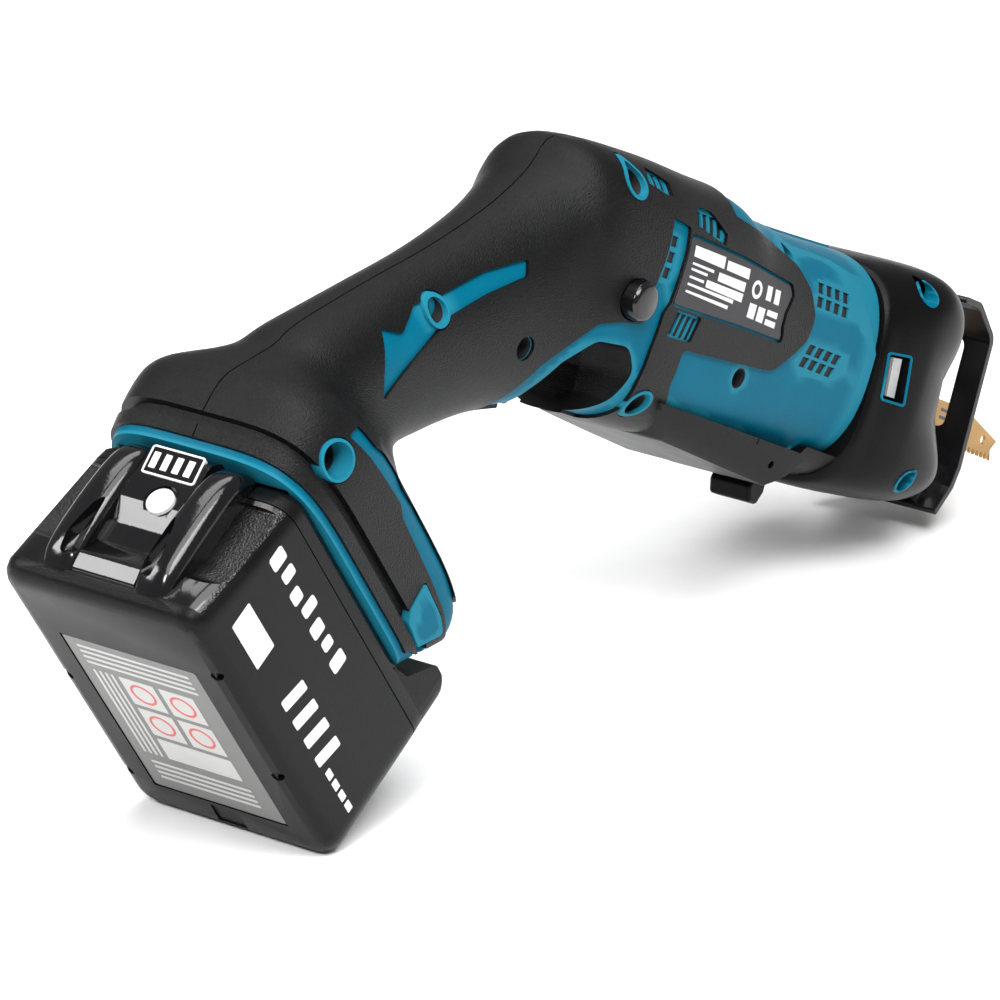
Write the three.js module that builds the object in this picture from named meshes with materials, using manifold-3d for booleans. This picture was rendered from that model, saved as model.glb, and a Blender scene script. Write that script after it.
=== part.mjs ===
// A compact cordless reciprocating saw with a slide-on battery pack, in millimetres.
//
// Everything is drawn in the tool's own frame: X runs forward along the blade's stroke, Y to the left, Z up,
// with z = 0 on the stroke axis and x = 0 at the pack's lower rear corner. Pack pieces are drawn in the
// pack's
// frame (x along the slide rails, z from its base to its rails) and tilted into place. At the end the whole
// tool is pitched nose down, as it stands by itself on a bench: on the pack's front edge and the blade's tip.
import * as THREE from "three";
import { mergeVertices } from "three/addons/utils/BufferGeometryUtils.js";
import Module from "manifold-3d";

const wasm = await Module();
wasm.setup();

// ---- driving dimensions ----
const GAP = 0.35; // free space between neighbouring pieces
const WALL = 2.6; // moulded housing wall
const RUBBER = 1.3; // overmoulded grip skin
const AXIS_HEIGHT = 134; // stroke axis above the pack's lower rear corner
const PACK_TILT = THREE.MathUtils.degToRad(29.1); // slide rails below the stroke axis
const REST_PITCH = THREE.MathUtils.degToRad(26.75); // nose-down pitch on the bench
const PACK = { length: 117, width: 75, seam: 47.5, top: 54.5, rails: 64.5 };
const NOSE = { back: 320, front: 361, low: -38.6, high: 42.6, half: 40.5 };
const MOTOR = { z: 12.5, yoke: 20.5, back: 206, front: 256 };
const CRANK = { x: 316, z: 18.1, radius: 19, throw: 6.5 };
const SHOE = { front: 400, half: 25, pinX: 391, pinZ: -25 };
const BLADE = { back: 361, tip: 461, top: 6, teeth: -7.5, thickness: 1.2 };
const SCREW = { head: 3.6, shank: 1.9 };

// The battery foot as sections across the pack's frame: [rear u, rear h, front u, front h, half width,
// squareness].
const FOOT_ROWS = [
  [0, 55, 100, 55, 39, 5],
  [-2, 60, 101, 60, 39.3, 5],
  [-4.5, 68, 102, 68, 39.8, 5],
  [-5, 76, 101.5, 76, 39.5, 5],
  [-3, 83, 98, 82, 38, 4.6],
  [0.5, 88.5, 88, 87.5, 33, 3.6],
  [4, 96.5, 71, 95, 26.5, 2.8],
  [8, 109, 60, 105, 21.3, 2.4],
];
// Handle and barrel: [top x, top z, bottom x, bottom z, half width, squareness], heights above the pack's
// corner.
const SPINE = [
  [85, 108.5, 119, 72, 19.5, 2.3],
  [112, 126, 140, 82, 20, 2.3],
  [135, 143.5, 160, 88, 22, 2.4],
  [149, 158, 177, 92, 25, 2.5],
  [158, 171, 190, 93, 28, 2.8],
  [186, 174, 204, 93.5, 30.5, 3],
  [213, 174, 220, 94, 31.5, 3.2],
  [236, 174, 240, 96, 32, 3.2],
  [252, 170.8, 255, 97, 32.2, 3],
  [278, 171, 278, 98, 32.6, 2.8],
  [318, 173, 318, 101, 33, 2.6],
];
const GRIP_ROWS = [2, 18]; // rows between which the rubber lies
const BODY_SIDES = 24;

// ---- geometry helpers ----
const materials = {
  teal: ["#0b7f9c", 0.5, 0],
  rubber: ["#26282a", 0.75, 0],
  black: ["#191b1d", 0.45, 0],
  gloss: ["#0e0f11", 0.15, 0],
  steel: ["#8f9498", 0.35, 0.9],
  darkSteel: ["#17181a", 0.35, 0.7],
  gold: ["#b98a45", 0.4, 0.6],
  aluminium: ["#a9adb0", 0.5, 0.8],
  copper: ["#b06a3c", 0.4, 0.8],
  white: ["#e8e8e6", 0.4, 0],
  green: ["#2f6b45", 0.6, 0],
};
const finish = Object.fromEntries(
  Object.entries(materials).map(([name, [color, roughness, metalness]]) => [
    name,
    new THREE.MeshStandardMaterial({ name, color, roughness, metalness }),
  ]),
);

function solid(geometry) {
  const bare = geometry.clone();
  bare.deleteAttribute("normal");
  bare.deleteAttribute("uv");
  const merged = mergeVertices(bare, 1e-4);
  return new wasm.Manifold(
    new wasm.Mesh({
      numProp: 3,
      vertProperties: new Float32Array(merged.attributes.position.array),
      triVerts: new Uint32Array(merged.index.array),
    }),
  );
}

function geometryOf(manifold) {
  const mesh = manifold.getMesh();
  const geometry = new THREE.BufferGeometry();
  geometry.setAttribute("position", new THREE.BufferAttribute(mesh.vertProperties, 3));
  geometry.setIndex(new THREE.BufferAttribute(mesh.triVerts, 1));
  return geometry;
}

// Closed skin through loops of equal length, with a fan over each end.
function loft(loops) {
  const n = loops[0].length;
  const points = loops.flat();
  const index = [];
  for (let k = 0; k + 1 < loops.length; k++) {
    for (let i = 0; i < n; i++) {
      const a = k * n + i;
      const b = k * n + ((i + 1) % n);
      index.push(a, b, a + n, b, b + n, a + n);
    }
  }
  const centre = (loop) => loop.reduce((s, p) => s.clone().add(p), new THREE.Vector3()).divideScalar(n);
  const first = points.push(centre(loops[0])) - 1;
  const last = points.push(centre(loops.at(-1))) - 1;
  const end = (loops.length - 1) * n;
  for (let i = 0; i < n; i++) {
    const j = (i + 1) % n;
    index.push(first, j, i, last, end + i, end + j);
  }
  const geometry = new THREE.BufferGeometry().setFromPoints(points);
  geometry.setIndex(index);
  const made = solid(geometry);
  if (made.volume() > 0) return made;
  geometry.setIndex(index.reverse());
  return solid(geometry);
}

// Superellipse loop: centre, two half axes as vectors, and how square it is.
function superLoop(centre, across, up, squareness, sides) {
  const power = 2 / squareness;
  const bend = (v) => Math.sign(v) * Math.abs(v) ** power;
  return Array.from({ length: sides }, (_, i) => {
    const t = (2 * Math.PI * (i + 0.5)) / sides;
    return centre
      .clone()
      .addScaledVector(across, bend(Math.cos(t)))
      .addScaledVector(up, bend(Math.sin(t)));
  });
}

const tilt = { c: Math.cos(PACK_TILT), s: Math.sin(PACK_TILT) };
const toTool = (u, h) => [u * tilt.c + h * tilt.s, h * tilt.c - u * tilt.s];
const rows = [
  ...FOOT_ROWS.map(([u0, h0, u1, h1, half, square]) => [...toTool(u0, h0), ...toTool(u1, h1), half, square]),
  ...SPINE,
];

function spineLoop([topX, topZ, bottomX, bottomZ, half, square], grow) {
  const top = new THREE.Vector3(topX, 0, topZ - AXIS_HEIGHT);
  const bottom = new THREE.Vector3(bottomX, 0, bottomZ - AXIS_HEIGHT);
  const up = top.clone().sub(bottom).multiplyScalar(0.5);
  const centre = top.add(bottom).multiplyScalar(0.5);
  up.setLength(up.length() + grow);
  return superLoop(centre, new THREE.Vector3(0, half + grow, 0), up, square, BODY_SIDES);
}

const spineLoft = (grow, from = 0, to = rows.length) =>
  loft(rows.slice(from, to).map((row) => spineLoop(row, grow)));

// Rounded block lofted along z from [z, x0, x1, half width] levels.
function stack(levels, squareness = 7, sides = 28) {
  return loft(
    levels.map(([z, x0, x1, half]) =>
      superLoop(
        new THREE.Vector3((x0 + x1) / 2, 0, z),
        new THREE.Vector3((x1 - x0) / 2, 0, 0),
        new THREE.Vector3(0, half, 0),
        squareness,
        sides,
      ),
    ),
  );
}

function box(x0, x1, y0, y1, z0, z1) {
  const geometry = new THREE.BoxGeometry(x1 - x0, y1 - y0, z1 - z0);
  geometry.translate((x0 + x1) / 2, (y0 + y1) / 2, (z0 + z1) / 2);
  return solid(geometry);
}

// Outline in the X-Z plane, extruded between two values of y.
function plate(points, y0, y1) {
  const corners = () => points.map(([x, z]) => new THREE.Vector2(x, z));
  const shape = points instanceof THREE.Shape ? points : new THREE.Shape(corners());
  const settings = { depth: y1 - y0, bevelEnabled: false, curveSegments: 6 };
  const geometry = new THREE.ExtrudeGeometry(shape, settings);
  geometry.rotateX(Math.PI / 2);
  geometry.translate(0, y1, 0);
  return solid(geometry);
}

function roundBar(radius, from, to, sides = 20) {
  const a = new THREE.Vector3(...from);
  const b = new THREE.Vector3(...to);
  const geometry = new THREE.CylinderGeometry(radius, radius, a.distanceTo(b), sides);
  const along = b.clone().sub(a).normalize();
  const turn = new THREE.Quaternion().setFromUnitVectors(new THREE.Vector3(0, 1, 0), along);
  geometry.applyQuaternion(turn);
  geometry.translate(...a.add(b).multiplyScalar(0.5).toArray());
  return solid(geometry);
}

const barX = (radius, x0, x1, z = 0, sides = 20, y = 0) => roundBar(radius, [x0, y, z], [x1, y, z], sides);
const barY = (radius, x, z, y0, y1, sides = 16) => roundBar(radius, [x, y0, z], [x, y1, z], sides);
const barZ = (radius, x, z0, z1, sides = 20, y = 0) => roundBar(radius, [x, y, z0], [x, y, z1], sides);
const ringX = (outer, inner, x0, x1, z, sides = 20) =>
  barX(outer, x0, x1, z, sides).subtract(barX(inner, x0 - 1, x1 + 1, z, sides));
const joined = (...solids) => solids.reduce((a, b) => a.add(b));
const cutBy = (body, ...tools) => tools.reduce((a, b) => a.subtract(b), body);

// ---- the pack's frame inside the tool's ----
const packMatrix = new THREE.Matrix4().makeRotationY(PACK_TILT).setPosition(0, 0, -AXIS_HEIGHT);
const inPack = (manifold) => solid(geometryOf(manifold).applyMatrix4(packMatrix));

const saw = new THREE.Group();
const pack = new THREE.Group();
pack.applyMatrix4(packMatrix);
saw.add(pack);

function add(name, manifold, material, group = saw) {
  const mesh = new THREE.Mesh(geometryOf(manifold.simplify(0.03)), finish[material]);
  mesh.name = name;
  group.add(mesh);
}

// ---- battery pack, in its own frame ----
const CELL = { radius: 9, length: 64, pitch: 19, firstX: 17, lowZ: 12.5, highZ: 31.8 };
const packLevels = (inset, low, high) => [
  [low, 5 + inset, PACK.length - 5 - inset, PACK.width / 2 - 5 - inset],
  [low + 2, 2 + inset, PACK.length - 1.6 - inset, PACK.width / 2 - 1.6 - inset],
  [low + 6, 1 + inset, PACK.length - inset, PACK.width / 2 - inset],
  [high, 7 + inset, PACK.length - inset, PACK.width / 2 - inset],
];

// Charge gauge and its button, on the raised panel at the pack's rear.
const GAUGE = { y: 0.5, half: 10, low: 41, high: 46.6, face: -1 };
const CHECK = { y: -3, h: 34.5, radius: 4.6 };
const RIB = { face: -4, inner: 11, outer: 22 };

// Rear grips: two raised ribs, with the gauge's panel between them.
function rearGrips() {
  const { seam } = PACK;
  const profile = (face) => [
    [7, 5],
    [1, 5],
    [face + 0.8, 11],
    [face, 18],
    [face, 38],
    [face + 3, seam],
    [7, seam],
  ];
  const ribs = [-RIB.outer, RIB.inner].map((y) => plate(profile(RIB.face), y, y + RIB.outer - RIB.inner));
  return joined(...ribs, plate(profile(GAUGE.face), -RIB.inner - 0.5, RIB.inner + 0.5));
}

function gaugeBox(u0, u1, grow) {
  const reach = GAUGE.half + grow;
  return box(u0, u1, GAUGE.y - reach, GAUGE.y + reach, GAUGE.low - grow, GAUGE.high + grow);
}

function lowerCase() {
  const wall = 2.2;
  const { seam, length, width } = PACK;
  const shell = cutBy(
    joined(stack(packLevels(0, 0, seam)), rearGrips()),
    stack([...packLevels(wall, wall, seam), [seam + 2, 7 + wall, length - wall, width / 2 - wall]]),
  );
  const buttonHole = roundBar(CHECK.radius + GAP, [-5, CHECK.y, CHECK.h], [9, CHECK.y, CHECK.h], 18);
  const gaugePocket = gaugeBox(GAUGE.face - 2, 2.4, GAP);
  const screwWells = packScrewPlaces().map(([x, y]) => barZ(PACK_SCREW + GAP, x, -1, 6, 12, y));
  return cutBy(shell, buttonHole, gaugePocket, ...screwWells);
}

function upperCase() {
  const lid = stack([
    [PACK.seam + GAP, 7, PACK.length, PACK.width / 2],
    [PACK.top - 2, 8, PACK.length, PACK.width / 2],
    [PACK.top, 10, PACK.length - 2, PACK.width / 2 - 2],
  ]);
  const neck = box(12, 108, -27, 27, PACK.top - 1, 59);
  const head = box(12, 108, -31, 31, 58.5, PACK.rails);
  const hollow = box(16, 90, -24, 24, PACK.seam - 1, 62);
  const contacts = joined(...[-18, -6, 6, 18].map((y) => box(11, 34, y - 1.5, y + 1.5, 59, 65)));
  const buttonPocket = box(94, 118, -16.5, 16.5, 49, 66);
  return cutBy(joined(lid, neck, head), hollow, contacts, buttonPocket);
}

// Five cells side by side, joined by the strips welded across their ends.
function cellRow(z) {
  const cells = Array.from({ length: 5 }, (_, i) =>
    barY(CELL.radius, CELL.firstX + 4 + i * CELL.pitch, z, -CELL.length / 2, CELL.length / 2, 14),
  );
  const x1 = CELL.firstX + 4 + 4 * CELL.pitch;
  const strips = [-1, 1].map((s) => {
    const y = s * CELL.length * 0.5;
    return box(CELL.firstX, x1 + 4, Math.min(y, y + s * 0.6), Math.max(y, y + s * 0.6), z - 4, z + 4);
  });
  return joined(...cells, ...strips);
}

function cellHolder() {
  const block = box(11, 108, -20, 20, 21.4, 22.9);
  const spine = box(11, 108, -20, -17, 20.6, 23.7);
  return joined(block, spine, box(11, 108, 17, 20, 20.6, 23.7));
}

const PACK_SCREW = 2.2;
const packScrewPlaces = () => [[27, -31.5], [75, -31.5], [52, 31.5], [99, 31.5]];

add("pack_lower_case", lowerCase(), "black", pack);
add("pack_upper_case", upperCase(), "gloss", pack);
add("cells_lower_row", cellRow(CELL.lowZ), "steel", pack);
add("cells_upper_row", cellRow(CELL.highZ), "steel", pack);
add("cell_holder", cutBy(cellHolder(), cellRow(CELL.lowZ + GAP), cellRow(CELL.highZ - GAP)), "white", pack);
add("pack_circuit_board", box(18, 88, -22, 22, 44.5, 46.1), "green", pack);
add(
  "pack_release_button",
  joined(box(104, 117.5, -15.5, 15.5, 50, 62), box(99, 104.5, -12, 12, 52, 56)),
  "black",
  pack,
);
add("charge_gauge", gaugeBox(GAUGE.face - 0.3, 2, 0), "white", pack);
const checkButton = roundBar(CHECK.radius, [-2, CHECK.y, CHECK.h], [7.6, CHECK.y, CHECK.h], 18);
add("charge_check_button", checkButton, "white", pack);
packScrewPlaces().forEach(([x, y], i) => {
  add(`pack_screw_${i + 1}`, barZ(PACK_SCREW, x, 0.8, 3.1, 12, y), "darkSteel", pack);
});

// ---- main housing ----
// T-shaped channel for the pack's rails, open at the front.
function railChannel() {
  const end = 140;
  return joined(
    box(10, end, -27.6, 27.6, 50, 59),
    box(10, end, -31.6, 31.6, 58, PACK.rails + 0.8),
    box(90, end, -20, 20, 50, 67),
  );
}

// Open recess for the forefinger, between the trigger and the hooked guard in front of it.
function fingerSpace(y0, y1) {
  const hole = new THREE.Shape();
  hole.moveTo(158, -60);
  hole.lineTo(162, -39);
  hole.lineTo(183, -16.5);
  hole.quadraticCurveTo(191, -16, 192.5, -24);
  hole.quadraticCurveTo(193.5, -32, 188, -37);
  hole.lineTo(181, -60);
  return plate(hole, y0, y1);
}

const bossPlaces = [
  [172, 165],
  [204, 101.5],
  [246, 119.5],
  [143, 106],
  [98, 107],
].map(([x, z]) => [x, z - AXIS_HEIGHT]);
const footBoss = [50, 58.5 - AXIS_HEIGHT];

// Air slots, as [x, z, width, height] boxes cut through both sides.
function vents() {
  const air = [];
  for (let i = 0; i < 4; i++) {
    for (const z of [19.6, 0]) air.push([279 + i * 5.2, z, 3.2, 8]);
  }
  for (const z of [8, 13, 18]) air.push([192, z, 3.4, 3.4]);
  for (let i = 0; i < 3; i++) air.push([203.5 + i * 3.9, -5.5, 2.2, 7.5]);
  for (let i = 0; i < 3; i++) air.push([206 + i * 4.4, 27.5, 2.4, 7], [181 + i * 4.2, 33, 2.2, 4.5]);
  return joined(...air.map(([x, z, w, h]) => box(x - w / 2, x + w / 2, -60, 60, z - h / 2, z + h / 2)));
}

const lockPlace = { x: 180, z: 131 - AXIS_HEIGHT };

function housingBody() {
  const outside = spineLoft(0);
  const inside = joined(spineLoft(-WALL, 2), box(310, 325, -28, 28, -26, 34));
  // Solid bridge round the finger recess, so that the case stays closed above the trigger.
  const block = plate([[152, -48], [200, -48], [200, -12], [176, -8], [150, -34]], -32, 32);
  const bridge = block.intersect(spineLoft(-1));
  return cutBy(
    joined(cutBy(outside, inside), bridge),
    fingerSpace(-60, 60),
    triggerSpace(),
    inPack(railChannel()),
    vents(),
    barY(7, lockPlace.x, lockPlace.z, -60, 60, 22),
    coverSpace(),
  );
}

// Room for the trigger and its travel, up and back into the handle.
const TRIGGER_PUSH = new THREE.Vector3(-0.77, 0, 0.64);
const triggerOutline = [
  [153, -45],
  [161, -45],
  [165, -37],
  [183.5, -19.5],
  [182, -13],
  [174, -12],
  [150, -36],
];
function triggerSpace() {
  const centre = [166, -28];
  const spare = 1.04;
  const at = (d) =>
    triggerOutline.map(([x, z]) => [
      centre[0] + (x - centre[0]) * spare + TRIGGER_PUSH.x * d,
      centre[1] + (z - centre[1]) * spare + TRIGGER_PUSH.z * d,
    ]);
  return wasm.Manifold.hull([plate(at(0), -9.6, 9.6), plate(at(6.6), -9.6, 9.6)]);
}

// ---- crank cover under the barrel ----
const COVER = [
  [211, -30],
  [227, -39.5],
  [254, -41],
  [287, -43],
  [307, -42],
  [317.5, -37],
];
function coverSpace() {
  const below = [[209, -29.8], [224, -38.7], [226, -60], [340, -60], [340, -29.8]];
  return plate(below, -60, 60);
}
function crankCover() {
  const across = (x, low, grow) => {
    const middle = new THREE.Vector3(x, 0, low / 2);
    const side = new THREE.Vector3(0, 31.6 + grow, 0);
    return superLoop(middle, side, new THREE.Vector3(0, 0, -low / 2 + grow), 3, 24);
  };
  const sections = [[208, -44], [250, -44], [290, -45], [318, -44]];
  const block = (grow) => loft(sections.map(([x, low]) => across(x, low, grow)));
  const skin = plate([...COVER, [318, -30.2], [211.5, -30.2]], -40, 40);
  const inner = [[228, -35], [252, -37.6], [286, -39], [304, -38.5], [310, -27], [222, -27]];
  const hollow = plate(inner, -26, 26).intersect(block(-2.6));
  return cutBy(skin.intersect(block(0)), hollow, leverSpace());
}

const LEVER = { x: 312, z: -37.4 };
function leverSpace() {
  return joined(box(300, 330, -8.6, 8.6, -50, -37.4), barY(4.6, LEVER.x, LEVER.z, -8.6, 8.6, 16));
}

function shoeLever() {
  const hub = barY(3.4, LEVER.x, LEVER.z, -8, 8, 16);
  const outline = [[309, -38], [315.3, -38], [316, -44], [314, -48.5], [308.5, -48.5], [306.5, -44]];
  const tab = plate(outline, -8, 8);
  return joined(hub, tab);
}

const whole = housingBody();
const half = (side) => {
  const [y0, y1] = side < 0 ? [-80, -GAP / 2] : [GAP / 2, 80];
  return whole.intersect(box(-60, 420, y0, y1, -160, 80));
};

function screwHoles(y0, y1, radius) {
  return joined(...[...bossPlaces, footBoss].map(([x, z]) => barY(radius, x, z, y0, y1, 12)));
}

// Posts that the case screws run through, from the left half to the right.
function posts(y0, y1) {
  const inner = spineLoft(-1);
  const solid = screwHoles(y0, y1, 5).intersect(inner);
  return cutBy(solid, inPack(railChannel()), triggerSpace(), fingerSpace(-60, 60));
}

const rightHalf = cutBy(
  joined(half(-1), posts(-60, -0.15)),
  screwHoles(-60, -0.1, SCREW.shank + GAP),
  screwHoles(-60, -11 + GAP, SCREW.head + GAP),
);
const leftHalf = cutBy(joined(half(1), posts(0.15, 60)), screwHoles(0.1, 9, SCREW.shank + GAP));
const largest = (manifold) => manifold.decompose().reduce((a, b) => (a.volume() > b.volume() ? a : b));
add("housing_right", largest(rightHalf), "teal");
add("housing_left", largest(leftHalf), "teal");

[...bossPlaces, footBoss].forEach(([x, z], i) => {
  const screw = joined(barY(SCREW.head, x, z, -13.6, -11, 12), barY(SCREW.shank, x, z, -11.2, 8.5, 10));
  add(`case_screw_${i + 1}`, screw, "darkSteel");
});

// Bare band of the case that sweeps from the trigger up to the rating plate, left open by the rubber.
const SWOOSH = [
  [190, 25],
  [199, 24],
  [199, 14],
  [195, -12],
  [197, -26],
  [201, -36],
  [196, -62],
  [140, -62],
  [149, -41],
  [163, -21],
  [171, -12.5],
  [188, -8],
  [188, 4],
];
// Front edge of the rubber, from the top of the barrel round the rating plate and down to the finger guard.
const STRAP_EDGE = [
  [226, 33],
  [252, 29],
  [267, 24.5],
  [274, 18.5],
  [276.5, 12],
  [274, 3],
  [261, -8.5],
  [210, -12.5],
  [211, -24],
  [224, -39],
];
const RATING = [
  [201, 0.5],
  [260, 1.5],
  [261, 17],
  [258, 19],
  [202, 21],
];

// Rubber skin over the foot, the handle and the motor's rear, split with the case.
function gripSkin(side) {
  const [first, last] = GRIP_ROWS;
  const skin = cutBy(spineLoft(GAP + RUBBER, first, last), spineLoft(GAP, first - 1, last + 1));
  const keep = side < 0 ? box(-20, 300, -80, -0.15, -120, 80) : box(-20, 300, 0.15, 80, -120, 80);
  const grown = RATING.map(([x, z]) => [x + Math.sign(x - 230) * 0.5, z + Math.sign(z - 10) * 0.5]);
  return largest(
    cutBy(
      skin.intersect(keep),
      plate([[226, 60], ...STRAP_EDGE, [224, -62], [320, -62], [320, 60]], -60, 60),
      plate(SWOOSH, -60, 60),
      fingerSpace(-60, 60),
      triggerSpace(),
      vents(),
      plate(grown, -60, -20),
      barY(7.8, lockPlace.x, lockPlace.z, -60, 60, 22),
      screwHoles(-60, 60, 4.6),
      plate([[209.4, -29.3], [226, -39.9], [226, -70], [330, -70], [330, -29.3]], -60, 60),
    ),
  );
}
add("grip_skin_right", gripSkin(-1), "rubber");
add("grip_skin_left", gripSkin(1), "rubber");
add("crank_cover", largest(crankCover()), "black");
add("shoe_lever", shoeLever(), "black");

// ---- trigger, switch and lock-off ----
add("trigger", plate(triggerOutline, -8.8, 8.8), "black");
add("lock_off_button", barY(6.5, lockPlace.x, lockPlace.z, -33.5, 33.5, 22), "black");
add("switch_body", plate([[142, -22], [158, -8], [150, 2], [132, -12]], -9, 9), "black");
add("terminal_block", inPack(box(26, 42, -16, 16, 72.5, 79.5)), "black");
add("rating_plate", plate(RATING, -34.4, -32.8), "black");

// ---- motor ----
function armatureShaft() {
  const teeth = Array.from({ length: 8 }, (_, i) => {
    const t = (2 * Math.PI * i) / 8;
    return roundBar(
      0.9,
      [286, 3.6 * Math.cos(t), MOTOR.z + 3.6 * Math.sin(t)],
      [300, 3.6 * Math.cos(t), MOTOR.z + 3.6 * Math.sin(t)],
      6,
    );
  });
  return joined(barX(2.5, 186, 290, MOTOR.z, 16), barX(3.4, 286, 300, MOTOR.z, 16), ...teeth);
}
function armatureCore() {
  const core = barX(16, 214, 246, MOTOR.z, 24);
  const slots = Array.from({ length: 6 }, (_, i) => {
    const t = (Math.PI * i) / 3;
    const place = [15.2 * Math.cos(t), MOTOR.z + 15.2 * Math.sin(t)];
    return roundBar(1.6, [200, ...place], [260, ...place], 6);
  });
  return cutBy(core, ...slots, barX(2.5 + GAP, 200, 260, MOTOR.z, 16));
}
function coolingFan() {
  const disc = cutBy(barX(19.4, 266, 268, MOTOR.z, 26), barX(2.5 + GAP, 260, 275, MOTOR.z, 16));
  const blades = Array.from({ length: 9 }, (_, i) => {
    const blade = solid(new THREE.BoxGeometry(6, 1.4, 12).translate(263.5, 0, 12.4));
    return blade.rotate([(360 * i) / 9, 0, 0]).translate([0, 0, MOTOR.z]);
  });
  return joined(disc, ...blades);
}
add("motor_yoke", ringX(MOTOR.yoke, 17.8, MOTOR.back, MOTOR.front, MOTOR.z, 28), "steel");
add("armature_shaft", armatureShaft(), "steel");
add("armature_core", armatureCore(), "copper");
add("commutator", ringX(8.5, 2.5 + GAP, 194, 204, MOTOR.z, 18), "copper");
add("cooling_fan", coolingFan(), "black");
add("motor_rear_bearing", ringX(8, 2.5 + GAP, 185, 191, MOTOR.z, 18), "steel");
add("motor_front_bearing", ringX(10, 2.5 + GAP, 276, 282, MOTOR.z, 18), "steel");
for (const side of [-1, 1]) {
  const name = side < 0 ? "carbon_brush_right" : "carbon_brush_left";
  add(name, roundBar(2.6, [199, side * 9, MOTOR.z], [199, side * 19, MOTOR.z], 8), "darkSteel");
}

// ---- gear case, crank and slider ----
function gearCase() {
  const levels = [[-22, 284, 344, 21], [-16, 284, 346, 22.4], [24.8, 284, 346, 22.4], [31.4, 286, 342, 15]];
  const outside = stack(levels, 8, 24);
  const inside = joined(
    box(288, 336.4, -20.2, 20.2, -12, 24.6),
    box(288, 336.4, -12, 12, 24, 29),
    barX(8.4, 330, 360, 0, 20),
    barX(6.2, 280, 290, MOTOR.z, 18),
    box(287, 360, -12.6, 12.6, -30, -16.2),
  );
  return cutBy(outside, inside, barY(3, 332, -4, -30, 30, 10));
}
function crankGear() {
  const disc = barZ(CRANK.radius, CRANK.x, CRANK.z, CRANK.z + 4.5, 32);
  const teeth = Array.from({ length: 32 }, (_, i) => {
    const tooth = solid(new THREE.BoxGeometry(3, 1.1, 0.9).translate(CRANK.radius - 1.6, 0, -0.3));
    return tooth.rotate([0, 0, (360 * i) / 32]).translate([CRANK.x, 0, CRANK.z]);
  });
  return joined(
    disc,
    ...teeth,
    barZ(4, CRANK.x, CRANK.z + 4, CRANK.z + 9.4, 18),
    barZ(3, CRANK.x, CRANK.z - 7.9, CRANK.z + 1, 16, CRANK.throw),
  );
}
function slider() {
  const yoke = box(308, 324, -14, 14, 0, 9.4);
  const slot = box(312.4, 319.6, -10.5, 10.5, 4, 12);
  return joined(cutBy(yoke, slot), barX(6.6, 323, 358, 0, 20), box(308, 326, -5, 5, -5, 0.5));
}
add("gear_case", gearCase(), "aluminium");
add("crank_gear", crankGear(), "steel");
const crankBearing = barZ(8, CRANK.x, CRANK.z + 5, CRANK.z + 9, 18);
add("crank_bearing", crankBearing.subtract(barZ(4 + GAP, CRANK.x, 0, 50, 18)), "steel");
add("slider_rod", slider(), "steel");
add("slider_bush", ringX(8.1, 6.6 + GAP, 338, 345.5, 0, 20), "copper");
add("dust_seal", ringX(10.5, 6.6 + GAP, 346.5, 348.6, 0, 20), "rubber");

// ---- blade and its clamp ----
function blade() {
  const teeth = [];
  const pitch = 2.8;
  for (let x = BLADE.tip - 1; x > 404; x -= pitch) {
    teeth.push([x, BLADE.teeth], [x - pitch * 0.4, BLADE.teeth + 1.7]);
  }
  const outline = [[BLADE.tip - 3, -3], ...teeth, [402, BLADE.teeth + 1.7], [396, -5.8], [BLADE.back, -5.8]];
  const back = [[BLADE.back, BLADE.top], [436, BLADE.top], [BLADE.tip, -0.5]];
  return plate([...outline, ...back], -BLADE.thickness / 2, BLADE.thickness / 2);
}
const CLAMP = { back: 358, front: 376 };
const bladeRoom = BLADE.thickness / 2 + GAP;
add(
  "blade_clamp",
  cutBy(barX(8.4, CLAMP.back + GAP, CLAMP.front, 0, 20), box(360, 380, -bladeRoom, bladeRoom, -6.5, 6.5)),
  "steel",
);
add(
  "clamp_sleeve",
  joined(ringX(11.4, 8.4 + GAP, 360, 374.5, 0, 24), box(362, 373, -2, 2, 11, 14.2)),
  "darkSteel",
);
add("blade", blade(), "gold");

// ---- nose cover and shoe ----
function noseCover() {
  const half = NOSE.half;
  const levels = (grow) => [
    [NOSE.back, -36.6, 36, 34.5],
    [NOSE.back + 6, NOSE.low, 38, 36.5],
    [NOSE.back + 20, NOSE.low, 41, half],
    [NOSE.front - 8, NOSE.low + 2, NOSE.high, half],
    [NOSE.front, NOSE.low + 3.6, NOSE.high - 2, half - 2],
    [NOSE.front + 3, NOSE.low + 8, NOSE.high - 6, half - 6],
  ].map(([x, z0, z1, w]) =>
    superLoop(
      new THREE.Vector3(x, 0, (z0 + z1) / 2),
      new THREE.Vector3(0, w + grow, 0),
      new THREE.Vector3(0, 0, (z1 - z0) / 2 + grow),
      4,
      28,
    ),
  );
  const inside = levels(-3.2);
  const stretched = [
    inside[0].map((p) => p.clone().add(new THREE.Vector3(-4, 0, 0))),
    ...inside,
    inside.at(-1).map((p) => p.clone().add(new THREE.Vector3(4, 0, 0))),
  ];
  return cutBy(loft(levels(0)), loft(stretched), box(317, 326, -50, -30, -4, 10));
}

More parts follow.
